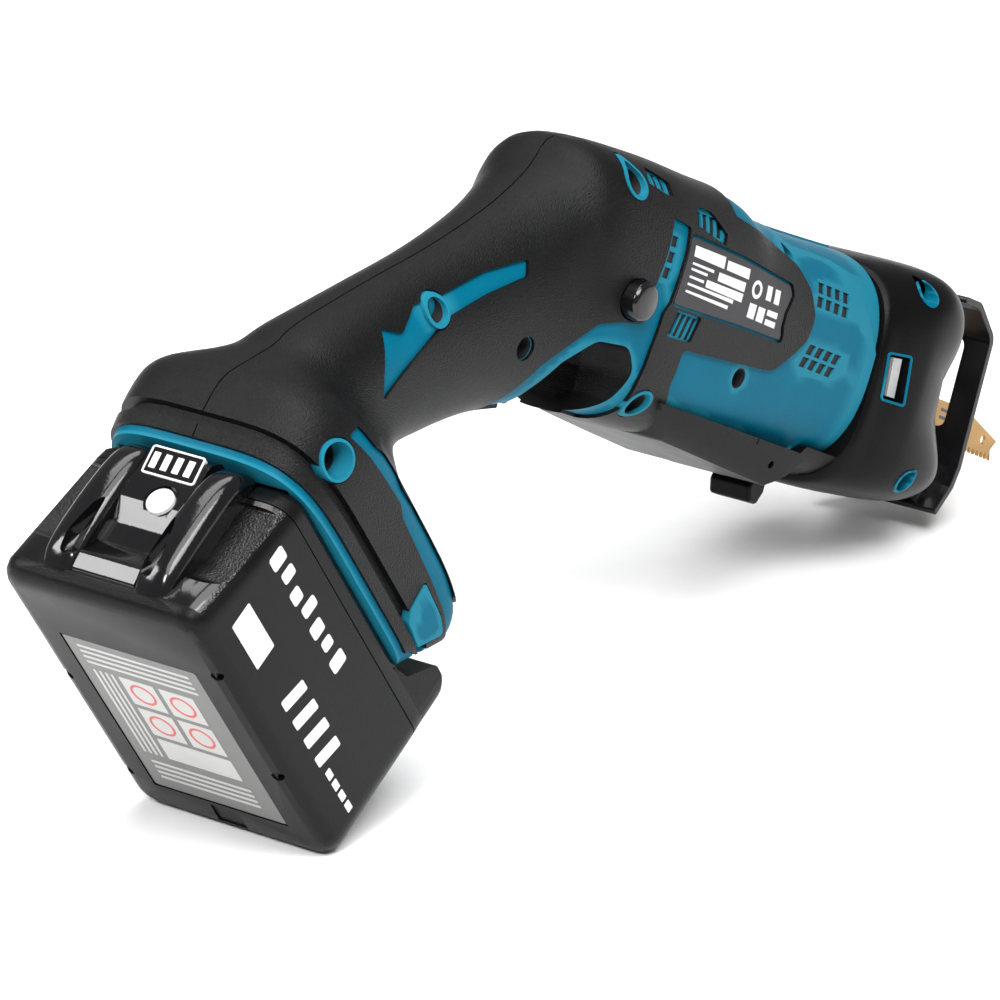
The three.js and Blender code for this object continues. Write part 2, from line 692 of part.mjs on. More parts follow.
// Bent steel loop that is held against the work: a face with a slot for the blade, its ends bent back.
function shoePlate() {
  const { front, half } = SHOE;
  const outer = [[376, 38.2], [384, 38.2], [front, 29], [front + 2.4, -16], [front + 1, -23], [395, -33]];
  const low = [[392.6, -31.8], [front - 1.4, -21.8], [front, -16]];
  const inner = [...low, [front - 2.4, 26.8], [384, 36], [376, 36]];
  const face = plate([...outer, ...inner], -half, half);
  const ear = [[386, -28], [397, -30.6], [400.4, -14], [394, -12], [386, -21]];
  const ears = [-16, 13.4].map((y) => plate(ear, y, y + 2.6));
  const window = joined(box(380, 410, -15.5, 15.5, -4, 27), box(380, 410, -6, 6, -14, -3));
  return cutBy(joined(face, ...ears), window, barY(2.3 + GAP, SHOE.pinX, SHOE.pinZ, -20, 20, 14));
}
function shoeArm() {
  const bar = box(296, 384, -11.8, 11.8, -20.4, -16.8);
  const outline = [[380, -20.4], [386, -27.5], [393, -28.6], [394.6, -21], [388, -16.8], [380, -16.8]];
  const neck = plate(outline, -11.8, 11.8);
  return cutBy(joined(bar, neck), barY(2.3 + GAP, SHOE.pinX, SHOE.pinZ, -20, 20, 14));
}
add("nose_cover", noseCover(), "rubber");
add("shoe_arm", shoeArm(), "steel");
add("shoe_plate", shoePlate(), "darkSteel");
add("shoe_pin", barY(2.3, SHOE.pinX, SHOE.pinZ, -17.5, 17.5, 14), "steel");
add("work_light", barX(2.6, 350, 358, -28.4, 14, 16), "white");

// ---- stand the tool on the bench ----
const stance = new THREE.Group();
saw.rotation.y = REST_PITCH;
stance.add(saw);
stance.updateMatrixWorld(true);
const extent = new THREE.Box3().setFromObject(stance, true);
saw.position.set(-(extent.min.x + extent.max.x) / 2, 0, -extent.min.z);

export default stance;
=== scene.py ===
"""A compact cordless reciprocating saw, standing nose down on its battery pack's edge and its blade's tip.

Shapes are drawn in the tool's own frame in millimetres: x forward along the blade, y to the left, z up from
the stroke axis. Pack and foot shapes are drawn in the pack's frame: u along its slide, y left, h up to its
rails.
"""
import math

import bmesh
import bpy
from mathutils import Matrix, Vector


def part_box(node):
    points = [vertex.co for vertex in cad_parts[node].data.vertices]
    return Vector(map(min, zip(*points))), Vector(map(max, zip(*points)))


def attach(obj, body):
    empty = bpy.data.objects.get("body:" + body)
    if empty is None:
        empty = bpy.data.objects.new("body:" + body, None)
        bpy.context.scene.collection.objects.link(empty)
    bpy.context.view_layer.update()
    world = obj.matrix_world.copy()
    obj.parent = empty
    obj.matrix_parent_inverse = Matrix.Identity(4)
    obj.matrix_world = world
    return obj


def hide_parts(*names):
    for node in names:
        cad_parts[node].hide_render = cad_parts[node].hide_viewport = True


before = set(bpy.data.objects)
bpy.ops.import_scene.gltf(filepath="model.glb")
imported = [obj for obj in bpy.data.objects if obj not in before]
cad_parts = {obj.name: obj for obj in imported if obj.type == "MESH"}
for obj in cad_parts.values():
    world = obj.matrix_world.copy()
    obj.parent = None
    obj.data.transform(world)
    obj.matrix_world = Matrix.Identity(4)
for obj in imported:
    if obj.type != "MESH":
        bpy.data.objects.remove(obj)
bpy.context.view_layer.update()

# ---- frames ----
AXIS_HEIGHT = 134.0
REST_PITCH = math.radians(26.75)
PACK_TILT = math.radians(29.1)
PIN = Vector((391, 0, -25))  # shoe pin's centre, in the tool's frame

pin_low, pin_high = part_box("shoe_pin")
pitch = Matrix.Rotation(REST_PITCH, 4, "Y")
pin_centre = (Vector(pin_low) + Vector(pin_high)) / 2
TOOL = Matrix.Translation(pin_centre - pitch.to_3x3() @ PIN * 0.001) @ pitch @ Matrix.Scale(0.001, 4)
PACK = Matrix.Translation((0, 0, -AXIS_HEIGHT)) @ Matrix.Rotation(PACK_TILT, 4, "Y")
PACK_PLACE = TOOL @ PACK

COS, SIN = math.cos(PACK_TILT), math.sin(PACK_TILT)


def to_tool(u, h):
    return u * COS + h * SIN, h * COS - u * SIN


# Battery foot, as sections of the pack's frame: rear u, rear h, front u, front h, half width, then the
# squareness of the rear half and of the front half.
FOOT = [
    (0, 54.8, 92.5, 54.8, 38.8, 4.2, 9), (-2, 60, 95.5, 60, 39.2, 4.2, 9),
    (-4.5, 68, 100.5, 68, 39.5, 4.2, 9), (-5, 76, 103.5, 75, 39.6, 4.2, 9),
    (-3, 82, 100, 81.5, 39.4, 3.9, 9), (-0.5, 87, 92, 85.8, 37.2, 3.3, 7), (2, 92, 80, 90, 30.5, 2.9, 4),
    (5, 98.5, 69, 96.5, 24.8, 2.6, 2.7), (8, 109, 60, 105, 21.3, 2.4, 2.4),
]
# Handle and barrel: top x, top z, bottom x, bottom z, half width, squareness (z above the pack's corner).
SPINE = [
    (85, 108.5, 119, 72, 19.5, 2.3), (112, 126, 140, 82, 20, 2.3), (135, 143.5, 160, 88, 22, 2.4),
    (149, 158, 177, 92, 25, 2.5), (158, 171, 190, 93, 28, 2.8), (186, 174, 204, 93.5, 30.5, 3),
    (213, 174, 220, 94, 31.5, 3.2), (236, 174, 240, 96, 32, 3.2), (252, 170.8, 255, 97, 32.2, 3),
    (278, 171, 278, 98, 32.6, 2.8), (318, 173, 318, 101, 33, 2.6),
]
ROWS = [(*to_tool(u0, h0), *to_tool(u1, h1), *shape) for u0, h0, u1, h1, *shape in FOOT]
ROWS += [(*row, row[-1]) for row in SPINE]
BARREL = len(ROWS) - 6  # first row of the hollow barrel
SIDES = 80
WALL = 2.6  # thickness of the case
SKIN = 1.15  # height of the rubber above the case
THROUGH = (-60, 60)  # y span past both sides of the body


# ---- mesh helpers ----
def spread(rows, steps):
    """Rows of numbers, smoothed by a Catmull-Rom curve with that many steps from row to row."""
    out = []
    for k in range(len(rows) - 1):
        a, b, c, d = (rows[min(max(i, 0), len(rows) - 1)] for i in (k - 1, k, k + 1, k + 2))
        for s in range(steps):
            t = s / steps
            out.append(tuple(
                0.5 * (2 * q + (r - p) * t + (2 * p - 5 * q + 4 * r - w) * t * t
                       + (3 * q - p - 3 * r + w) * t ** 3)
                for p, q, r, w in zip(a, b, c, d)))
    out.append(tuple(rows[-1]))
    return out


def add_object(name, points, faces):
    mesh = bpy.data.meshes.new(name)
    mesh.from_pydata([tuple(p) for p in points], [], faces)
    mesh.update()
    thing = bpy.data.objects.new(name, mesh)
    bpy.context.scene.collection.objects.link(thing)
    return thing


def outward(thing):
    bm = bmesh.new()
    bm.from_mesh(thing.data)
    bmesh.ops.recalc_face_normals(bm, faces=bm.faces)
    bm.to_mesh(thing.data)
    bm.free()
    return thing


def loft(loops, name="loft"):
    n = len(loops[0])
    points = [p for loop in loops for p in loop]
    faces = []
    for k in range(len(loops) - 1):
        for i in range(n):
            j = (i + 1) % n
            faces.append((k * n + i, k * n + j, (k + 1) * n + j, (k + 1) * n + i))
    faces.append(tuple(range(n)))
    faces.append(tuple((len(loops) - 1) * n + i for i in range(n)))
    return outward(add_object(name, points, faces))


def super_loop(centre, across, up, square, sides=SIDES):
    power = 2 / square
    loop = []
    for i in range(sides):
        t = math.tau * (i + 0.5) / sides
        c, s = math.cos(t), math.sin(t)
        loop.append(centre + across * math.copysign(abs(c) ** power, c) + up * math.copysign(abs(s) ** power,
                                                                                             s))
    return loop


def rounded(points, radius, steps=6):
    """Closed outline with each corner replaced by an arc; radius may be one number or one per corner."""
    out = []
    count = len(points)
    for i in range(count):
        p = Vector(points[i])
        a, b = Vector(points[i - 1]) - p, Vector(points[(i + 1) % count]) - p
        r = radius[i] if isinstance(radius, (list, tuple)) else radius
        half = a.angle(b) / 2
        if r <= 0 or half > math.radians(88):
            out.append(p)
            continue
        run = min(r / math.tan(half), a.length * 0.48, b.length * 0.48)
        start, end = p + a.normalized() * run, p + b.normalized() * run
        for k in range(steps + 1):
            t = k / steps
            out.append(start * (1 - t) ** 2 + p * 2 * t * (1 - t) + end * t * t)
    return out


def prism(outline, y0, y1, name="prism"):
    """Outline in x and z, extruded from y0 to y1."""
    n = len(outline)
    points = [(p[0], y, p[1]) for y in (y0, y1) for p in outline]
    faces = [tuple(range(n)), tuple(range(n, 2 * n))]
    faces += [(i, (i + 1) % n, n + (i + 1) % n, n + i) for i in range(n)]
    return outward(add_object(name, points, faces))


def box(x0, x1, y0, y1, z0, z1):
    return prism([(x0, z0), (x1, z0), (x1, z1), (x0, z1)], y0, y1, "box")


def bar(radius, a, b, sides=32, radius_end=None):
    a, b = Vector(a), Vector(b)
    turn = Vector((0, 0, 1)).rotation_difference(b - a)
    across, up = turn @ Vector((1, 0, 0)), turn @ Vector((0, 1, 0))
    far = radius if radius_end is None else radius_end
    return loft([super_loop(a, across * radius, up * radius, 2, sides),
                 super_loop(b, across * far, up * far, 2, sides)])


def bar_y(radius, x, z, y0, y1, sides=32):
    return bar(radius, (x, y0, z), (x, y1, z), sides)


def slab_loop(u0, u1, half, h, radius, steps=7):
    """Rounded rectangle at height h, in the pack's frame."""
    corners = [(u0, -half), (u1, -half), (u1, half), (u0, half)]
    return [Vector((p[0], p[1], h)) for p in rounded(corners, radius, steps)]


def slab(levels):
    """Block lofted up the pack's frame from (h, u0, u1, half width, corner radius) levels."""
    return loft([slab_loop(u0, u1, half, h, radius) for h, u0, u1, half, radius in levels])


def placed(thing, matrix):
    thing.data.transform(matrix)
    return thing


def boolean(body, tool, operation="DIFFERENCE"):
    """The body after the operation; the tool is used up. Both are closed meshes in the same frame."""
    modifier = body.modifiers.new("cut", "BOOLEAN")
    modifier.operation = operation
    modifier.solver = "EXACT"
    modifier.object = tool
    result = bpy.data.meshes.new_from_object(body.evaluated_get(bpy.context.evaluated_depsgraph_get()))
    body.modifiers.clear()
    body.data = result
    bpy.data.objects.remove(tool)
    return body


def cut(body, *tools):
    for tool in tools:
        boolean(body, tool)
    return body


def join(*things):
    """Several meshes as one object, without merging their surfaces."""
    bm = bmesh.new()
    for thing in things:
        bm.from_mesh(thing.data)
    first = things[0]
    bm.to_mesh(first.data)
    bm.free()
    for thing in things[1:]:
        bpy.data.objects.remove(thing)
    return first


def fuse(*things):
    for thing in things[1:]:
        boolean(things[0], thing, "UNION")
    return things[0]


def copy_of(thing):
    twin = thing.copy()
    twin.data = thing.data.copy()
    bpy.context.scene.collection.objects.link(twin)
    return twin


def piece(thing, name, body, material, slot, replaces=(), bevel=0.0, segments=2, angle=32, matrix=TOOL):
    """Finishes a mesh drawn in millimetres as a named piece of the saw."""
    thing.name = name
    thing.data.name = name
    thing.data.transform(matrix)
    if bevel:
        edge = thing.modifiers.new("edge", "BEVEL")
        edge.width = bevel * 0.001
        edge.segments = segments
        edge.limit_method = "ANGLE"
        edge.angle_limit = math.radians(angle)
        edge.use_clamp_overlap = True
        edge.harden_normals = False
    for polygon in thing.data.polygons:
        polygon.use_smooth = True
    thing.data.set_sharp_from_angle(angle=math.radians(angle + 4))
    thing.data.materials.clear()
    thing.data.materials.append(material)
    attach(thing, body)
    if replaces:
        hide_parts(*replaces)
    return thing


def pack_piece(thing, name, material, slot, replaces=(), body="pack", **finish):
    """Finishes a mesh drawn in the pack's frame as a named piece of the pack."""
    return piece(thing, name, body, material, slot, replaces, matrix=PACK_PLACE, **finish)


# ---- materials ----
def shade(name, color, roughness, metallic=0.0, grain=0.0, grain_size=0.3, mottle=0.1, coat=0.0, wear=None,
          streak=None,
          dull=None):
    """Moulded or metal surface: mottled colour, varying roughness and a fine grain bump (sizes in mm)."""
    material = bpy.data.materials.new(name)
    material.use_nodes = True
    nodes, links = material.node_tree.nodes, material.node_tree.links
    shader = nodes["Principled BSDF"]
    shader.inputs["Metallic"].default_value = metallic
    if dull is not None:
        shader.inputs["Specular IOR Level"].default_value = dull
    if coat:
        shader.inputs["Coat Weight"].default_value = coat
        shader.inputs["Coat Roughness"].default_value = 0.08
    place = nodes.new("ShaderNodeTexCoord")
    stretch = nodes.new("ShaderNodeMapping")
    stretch.inputs["Scale"].default_value = streak or (1, 1, 1)
    links.new(place.outputs["Object"], stretch.inputs["Vector"])
    cloud = nodes.new("ShaderNodeTexNoise")
    cloud.inputs["Scale"].default_value = 90
    cloud.inputs["Detail"].default_value = 6
    links.new(stretch.outputs["Vector"], cloud.inputs["Vector"])
    tint = nodes.new("ShaderNodeValToRGB")
    tint.color_ramp.elements[0].position = 0.3
    tint.color_ramp.elements[1].position = 0.75
    tint.color_ramp.elements[0].color = (*[c * (1 - mottle) for c in color], 1)
    tint.color_ramp.elements[1].color = (*[min(1, c * (1 + mottle)) for c in color], 1)
    links.new(cloud.outputs["Fac"], tint.inputs["Fac"])
    out = tint.outputs["Color"]
    if wear:
        edge = nodes.new("ShaderNodeNewGeometry")
        lift = nodes.new("ShaderNodeValToRGB")
        lift.color_ramp.elements[0].position = 0.54
        lift.color_ramp.elements[1].position = 0.62
        links.new(edge.outputs["Pointiness"], lift.inputs["Fac"])
        mix = nodes.new("ShaderNodeMix")
        mix.data_type = "RGBA"
        mix.inputs["B"].default_value = (*wear, 1)
        weak = nodes.new("ShaderNodeMath")
        weak.operation = "MULTIPLY"
        weak.inputs[1].default_value = 0.35
        links.new(lift.outputs["Color"], weak.inputs[0])
        links.new(weak.outputs["Value"], mix.inputs["Factor"])
        links.new(out, mix.inputs["A"])
        out = mix.outputs["Result"]
    links.new(out, shader.inputs["Base Color"])
    shine = nodes.new("ShaderNodeMapRange")
    shine.inputs["To Min"].default_value = max(0.03, roughness - 0.07)
    shine.inputs["To Max"].default_value = min(1, roughness + 0.07)
    links.new(cloud.outputs["Fac"], shine.inputs["Value"])
    links.new(shine.outputs["Result"], shader.inputs["Roughness"])
    if grain:
        fine = nodes.new("ShaderNodeTexNoise")
        fine.inputs["Scale"].default_value = 1000 / grain_size
        fine.inputs["Detail"].default_value = 2
        links.new(stretch.outputs["Vector"], fine.inputs["Vector"])
        bump = nodes.new("ShaderNodeBump")
        bump.inputs["Strength"].default_value = grain
        bump.inputs["Distance"].default_value = 0.0003
        links.new(fine.outputs["Fac"], bump.inputs["Height"])
        links.new(bump.outputs["Normal"], shader.inputs["Normal"])
    return material


teal = shade("teal_plastic", (0.0005, 0.1, 0.165), 0.4, grain=0.25, grain_size=0.6, mottle=0.06, dull=0.05,
             wear=(0.03, 0.25, 0.33))
rubber = shade("rubber_overmould", (0.0035, 0.0036, 0.0038), 0.36, grain=0.9, grain_size=0.45, mottle=0.3,
               dull=0.16)
black = shade("black_plastic", (0.003, 0.003, 0.0033), 0.3, grain=0.3, grain_size=0.5, mottle=0.2, dull=0.09)
charcoal = shade("charcoal_plastic", (0.004, 0.004, 0.0042), 0.34, grain=0.3, grain_size=0.5, mottle=0.2,
                 dull=0.12)
gloss = shade("gloss_black_plastic", (0.003, 0.003, 0.0035), 0.12, grain=0.1, grain_size=1.6, mottle=0.1,
              dull=0.5)
speckled = shade("speckled_black_plastic", (0.005, 0.005, 0.0055), 0.24, grain=0.7, grain_size=0.8,
                 mottle=0.3, dull=0.4)
hollow = shade("shadowed_inside", (0.003, 0.003, 0.004), 0.7, mottle=0.2)
grey_label = shade("grey_label", (0.13, 0.13, 0.128), 0.45, mottle=0.06, grain=0.1, grain_size=1.5)
plate_face = shade("rating_plate_face", (0.02, 0.02, 0.022), 0.42, grain=0.2, grain_size=0.8, mottle=0.1,
                   dull=0.3)
print_white = shade("printed_marks", (0.6, 0.6, 0.6), 0.5, mottle=0.04, grain=0.1, grain_size=0.6)
print_grey = shade("printed_grey_marks", (0.42, 0.42, 0.41), 0.5, mottle=0.05, grain=0.1, grain_size=0.6)
print_red = shade("printed_red_rings", (0.5, 0.08, 0.07), 0.5, mottle=0.05, grain=0.1, grain_size=0.6)
steel = shade("ground_steel", (0.5, 0.5, 0.51), 0.3, metallic=1, mottle=0.12, grain=0.2, grain_size=0.4,
              streak=(1, 0.15, 1))
dark_steel = shade("black_steel", (0.008, 0.008, 0.009), 0.24, metallic=0.3, mottle=0.2, grain=0.1,
                   grain_size=1.2, dull=0.4,
                   wear=(0.12, 0.12, 0.13))
gold = shade("blade_coating", (0.4, 0.235, 0.085), 0.42, metallic=0.7, mottle=0.25, grain=0.4,
             grain_size=0.5, streak=(0.3, 1, 1))
silver = shade("silver_insert", (0.4, 0.4, 0.4), 0.35, metallic=0.6, mottle=0.2, grain=0.6, grain_size=0.5)
cast = shade("cast_aluminium", (0.5, 0.5, 0.5), 0.45, metallic=1, mottle=0.15, grain=0.6, grain_size=0.8)
copper = shade("copper_winding", (0.55, 0.25, 0.1), 0.35, metallic=1, mottle=0.3, grain=0.6, grain_size=0.9,
               streak=(0.1, 1, 1))
board = shade("circuit_board", (0.03, 0.16, 0.06), 0.35, mottle=0.25, grain=0.3, grain_size=1.5)
lens = shade("clear_white_plastic", (0.75, 0.76, 0.76), 0.2, mottle=0.04, coat=0.5)

for material, nodes in {
    steel: ("cells_lower_row", "cells_upper_row", "motor_yoke", "armature_shaft", "motor_rear_bearing",
            "motor_front_bearing", "crank_gear", "crank_bearing", "slider_rod", "blade_clamp", "shoe_pin"),
    dark_steel: tuple(f"pack_screw_{i}" for i in range(1, 5)) + tuple(f"case_screw_{i}" for i in range(1, 7)),
    copper: ("armature_core", "commutator", "slider_bush"),
    black: ("switch_body", "terminal_block", "cooling_fan"),
    hollow: ("carbon_brush_right", "carbon_brush_left"),
    lens: ("cell_holder", "work_light"),
    rubber: ("dust_seal",),
    cast: ("gear_case",),
    board: ("pack_circuit_board",),
}.items():
    for node in nodes:
        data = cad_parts[node].data
        data.materials.clear()
        data.materials.append(material)
        for polygon in data.polygons:
            polygon.use_smooth = True
        data.set_sharp_from_angle(angle=math.radians(30))


# ---- body lofts ----
def spine_row(row, grow):
    top_x, top_z, bottom_x, bottom_z, half, square, low_square = row
    top, bottom = Vector((top_x, 0, top_z - AXIS_HEIGHT)), Vector((bottom_x, 0, bottom_z - AXIS_HEIGHT))
    up = (top - bottom) / 2
    up = up.normalized() * (up.length + grow)
    middle, side = (top + bottom) / 2, Vector((0, half + grow, 0))
    loops = super_loop(middle, side, up, square), super_loop(middle, side, up, low_square)
    return [a if (a - middle).dot(up) > 0 else b for a, b in zip(*loops)]


def spine_loft(grow, first=0, extra=()):
    rows = spread(ROWS[first:] + list(extra), 5)
    return loft([spine_row(row, grow) for row in rows])


def patch(tools, low, high):
    """Part of the layer between two offsets of the body's surface that lies inside the tools."""
    body = join(*tools)
    boolean(body, spine_loft(high), "INTERSECT")
    return boolean(body, spine_loft(low))


def offset(outline, distance):
    """Closed outline moved outwards (or inwards, if negative) by that distance."""
    points = [Vector(p) for p in outline]
    area = sum(a.x * b.y - b.x * a.y for a, b in zip(points, points[1:] + points[:1]))
    side = math.copysign(distance, area)
    out = []
    for i, p in enumerate(points):
        a, b = (p - points[i - 1]).normalized(), (points[(i + 1) % len(points)] - p).normalized()
        normal = Vector((a.y + b.y, -a.x - b.x))
        out.append(p + normal / max(0.4, 1 + a.dot(b)) * side)
    return out


def frame_prism(outer, inner, y0, y1):
    """Prism of the band between two outlines with as many points as each other."""
    n = len(outer)
    points = [(p[0], y, p[1]) for y in (y0, y1) for line in (outer, inner) for p in line]
    faces = []
    for i in range(n):
        j = (i + 1) % n
        for a, b in ((0, 1), (1, 3), (3, 2), (2, 0)):
            faces.append((a * n + i, a * n + j, b * n + j, b * n + i))
    return outward(add_object("band", points, faces))


def drop_outline(x, z, radius, angle=None, reach=1.6, sides=36):
    """Circle, or a drop whose tip points along the angle (in degrees)."""
    if angle is None:
        return [Vector((x + radius * math.cos(math.tau * k / sides),
                        z + radius * math.sin(math.tau * k / sides)))
                for k in range(sides)]
    spread_angle = math.acos(1 / reach)
    tip = math.radians(angle)
    points = []
    for k in range(sides):
        t = tip + spread_angle + (math.tau - 2 * spread_angle) * k / (sides - 1)
        points.append(Vector((x + radius * math.cos(t), z + radius * math.sin(t))))
    points.append(Vector((x + radius * reach * math.cos(tip), z + radius * reach * math.sin(tip))))
    return rounded(points, [0] * sides + [radius * 0.4])


def hull_of(*things):
    """Convex hull of several meshes, which are used up."""
    body = join(*things)
    bm = bmesh.new()
    bm.from_mesh(body.data)
    points = [v.co.copy() for v in bm.verts]
    bm.clear()
    for point in points:
        bm.verts.new(point)
    bmesh.ops.remove_doubles(bm, verts=bm.verts, dist=1e-4)
    found = bmesh.ops.convex_hull(bm, input=bm.verts)
    inside = [v for v in found["geom_interior"] if isinstance(v, bmesh.types.BMVert)]
    bmesh.ops.delete(bm, geom=inside, context="VERTS")
    bm.to_mesh(body.data)
    bm.free()
    return outward(body)


def reshape(thing, move):
    """Moves every point of a mesh by a function of its place."""
    for vertex in thing.data.vertices:
        vertex.co = move(vertex.co.copy())
    thing.data.update()
    return thing


def finish_faces(thing, material, test):
    """Gives a second material to the faces whose centre and normal pass the test."""
    thing.data.materials.append(material)
    for polygon in thing.data.polygons:
        if test(polygon.center, polygon.normal):
            polygon.material_index = len(thing.data.materials) - 1
    return thing


RIGHT, LEFT = (-60, -8), (8, 60)


def sides_of(outline, spans=(RIGHT, LEFT), matrix=None):
    """Prisms of an outline through the sides of the body."""
    made = [prism(outline, *span) for span in spans]
    return [placed(thing, matrix) if matrix else thing for thing in made]


# ---- outlines on the body's side, in the tool's frame ----
SWOOSH = rounded(
    [(190, 25), (199, 24), (199, 17), (197.5, 0), (195.5, -4), (195.5, -16), (197, -26), (200, -36),
     (198, -60),
     (138, -60), (148, -43), (154, -31), (163, -21), (170, -13.5), (178, -11), (187, -9.5), (189, -5),
     (187.5, 2),
     (189, 12)],
    [1, 1, 5, 4, 3, 5, 6, 6, 0, 0, 4, 6, 6, 4, 4, 3, 3, 4, 5])
STRAP_EDGE = rounded(
    [(226, 60), (226, 33), (238, 31.5), (252, 29), (264, 26), (272, 20), (276.5, 12), (275, 4), (269, -2),
     (261, -8.6), (255, -9.5), (210.5, -12.5), (211.5, -24), (216, -31), (226, -40), (226, -60), (340, -60),
     (340, 60)],
    [0, 1, 8, 8, 8, 8, 8, 8, 6, 4, 3, 2, 4, 4, 3, 0, 0, 0])
FINGER = rounded([(155, -60), (158.5, -39), (164, -28), (173.5, -18.5), (187, -17), (194, -24), (194, -34),
                  (184, -60)],
                 [0, 3, 6, 6, 7, 7, 5, 0])
INLAY = rounded(
    [(78, -36.5), (86, -36), (92, -26.5), (103, -21), (120, -10), (136, -2), (136, -7.5), (121, -16.5),
     (105, -27.5),
     (89, -46), (80, -57), (78.5, -50)],
    [1, 3, 4, 6, 8, 1, 1, 8, 8, 5, 1, 6])
RATING = rounded(
    [(200.5, 21.5), (229, 20.8), (260, 18.5), (261.5, 16), (259, 10), (259, 5), (260.5, 1.2), (235, 1),
     (199, 0)],
    [1, 5, 1, 1.5, 1.5, 1.5, 1, 5, 1])
SLOT_WINDOW = rounded([(200, -10.4), (212.6, -9.6), (214.8, -1.2), (201.6, -1.6)], 0.8)
TOP_WINDOWS = [rounded([(202, 25.5), (218.5, 22.5), (219.5, 26), (211, 31), (203, 31)], 0.8),
               rounded([(178, 32.5), (190, 30.5), (190, 35), (180, 37)], 0.8)]
FOOT_STRIP = rounded(
    [(10, 78.5), (12, 84), (22, 84.4), (28, 86.6), (37, 87.2), (42, 85.2), (52, 86), (80, 84.6),
     (90, 82.6), (98, 84), (130, 84), (130, 50), (84, 50), (86, 58.4), (90.4, 60.2), (97.8, 72.6),
     (88, 75.6), (76, 77), (48, 79), (43, 81), (21, 80)],
    [1, 2, 3, 2, 2, 2, 1, 1, 1, 2, 0, 0, 0, 2, 2, 2, 2, 2, 1, 1, 2])
FOOT_INSET = rounded([(73, 74.6), (74.6, 65.6), (77.4, 62.6), (88, 61.6), (94.4, 71.6), (88, 73.6)],
                     [1, 2, 2, 1, 1.5, 1])
LOCK = (181, -3)
KNUCKLE_BOSS, GUARD_BOSS, FOOT_BOSS = (172, 31), (204, -32.5), (44.5, -78)
BARREL_BOSS, GRIP_BOSS, HANDLE_BOSS = (246, -14.5), (143, -28), (100.4, -26)
TRIGGER = rounded([(153, -45), (161, -45), (165, -37), (184, -19.5), (182, -13), (174, -12), (150, -36)],
                  [1, 3, 6, 4, 2, 1, 1])
TRIGGER_PUSH = Vector((-0.77, 0, 0.64)).normalized()


def trigger_room():
    """Space that the trigger needs from rest to fully pulled."""
    body = [prism(offset(TRIGGER, 0.5), -9.6, 9.6) for _ in range(2)]
    placed(body[1], Matrix.Translation(TRIGGER_PUSH * 6.5))
    return hull_of(*body)


# ---- teal case ----
case = spine_loft(0.0)
cut(case, spine_loft(-WALL, BARREL, [(330, 173, 330, 101, 33, 2.6, 2.6)]))
groove = boolean(placed(box(-30, 130, -60, 60, 60.9, 65.2), PACK), spine_loft(-WALL))
cut(case, groove, prism(FINGER, *THROUGH), trigger_room())


def slot_grid(x0, z0, columns, rows, pitch_x, pitch_z, width, height, lean):
    """Small air slots through both sides of the barrel, in leaning columns."""
    made = []
    for i in range(columns):
        for k in range(rows):
            x, z = x0 + i * pitch_x + k * lean, z0 + k * pitch_z
            foot = [(x, z), (x + width, z)]
            head = [(x + width + lean * 0.7, z + height), (x + lean * 0.7, z + height)]
            made += sides_of(foot + head, ((-60, -25), (25, 60)))
    return made


def slats(x0, z0, count, pitch, width, height, lean):
    """Row of upright slots behind a window in the rubber."""
    made = []
    for i in range(count):
        x = x0 + i * pitch
        foot = [(x, z0), (x + width, z0 + lean * 0.1)]
        made += sides_of([*foot, (x + width + lean, z0 + height), (x + lean, z0 + height)])
    return made


vents = slot_grid(278, 15.6, 4, 2, 5.1, 4.4, 3.8, 3.4, 0.4)
vents += slot_grid(275.8, -4.2, 4, 2, 5.2, 4.4, 4.0, 3.4, 1.8)
vents += slot_grid(190.6, 6.3, 1, 3, 5, 5.0, 3.4, 3.4, 0.3)
vents += slats(200.9, -9.4, 4, 3.1, 2.5, 7.4, 1.6)
vents += slats(203.0, 24.0, 4, 3.9, 3.1, 5.6, 0.3) + slats(179.8, 31.8, 3, 3.3, 2.6, 3.6, 0.2)
vents = join(*vents)
# Painted shade: flat near-black plates sunk 0.7 to 1.9 mm under the surface in every air slot, standing in
# for the shade inside the slots.
shadows = copy_of(vents)
boolean(shadows, spine_loft(-0.7), "INTERSECT")
boolean(shadows, spine_loft(-1.9))
piece(shadows, "vent_painted_shade", "case", hollow, "black_plastic")
cut(case, vents)
BORE, BARREL_BORE, FOOT_BORE = 3.7, 3.4, 5.3  # radii of the screw bores
BORE_END = -13.6
SMALL_BOSSES = (KNUCKLE_BOSS, GUARD_BOSS, GRIP_BOSS, HANDLE_BOSS)
bores = [bar_y(BORE, *place, -60, BORE_END) for place in SMALL_BOSSES]
bores += [bar_y(BARREL_BORE, *BARREL_BOSS, -60, BORE_END), bar_y(FOOT_BORE, *FOOT_BOSS, -60, BORE_END)]
cut(case, join(*bores), prism(drop_outline(262.5, 27.5, 2.6, 115, 1.9), -60, -15))
cut(case, box(205, 330, -60, 60, -60, -29.6), placed(box(9, 140, -31.6, 31.6, 50, 65.3), PACK))
crease = [(211, -24.6), (214, -23.2), (317, -21.6), (317, -20.4), (230, -21.2), (214, -22)]
cut(case, *sides_of(crease, ((-60, -30.7), (30.7, 60))))
shoulder_line = [(264, 60), (264, 30.4), (292, 32.2), (304, 27), (318.2, 8), (340, 0), (340, 60)]
shoulder = boolean(join(*sides_of(shoulder_line, ((-60, -4), (4, 60)))), spine_loft(-0.8))
cut(case, shoulder)
rings = [frame_prism(drop_outline(*KNUCKLE_BOSS, 4.9, 112, 1.75),
                     drop_outline(*KNUCKLE_BOSS, 3.9, 112, 1.75), *RIGHT),
         frame_prism(drop_outline(*GUARD_BOSS, 4.7), drop_outline(*GUARD_BOSS, 3.7), *RIGHT),
         frame_prism(drop_outline(*HANDLE_BOSS, 5.0), drop_outline(*HANDLE_BOSS, 3.8), *RIGHT),
         frame_prism(drop_outline(*FOOT_BOSS, 6.3), drop_outline(*FOOT_BOSS, 5.4), *RIGHT)]
rings += sides_of(FOOT_INSET, matrix=PACK)
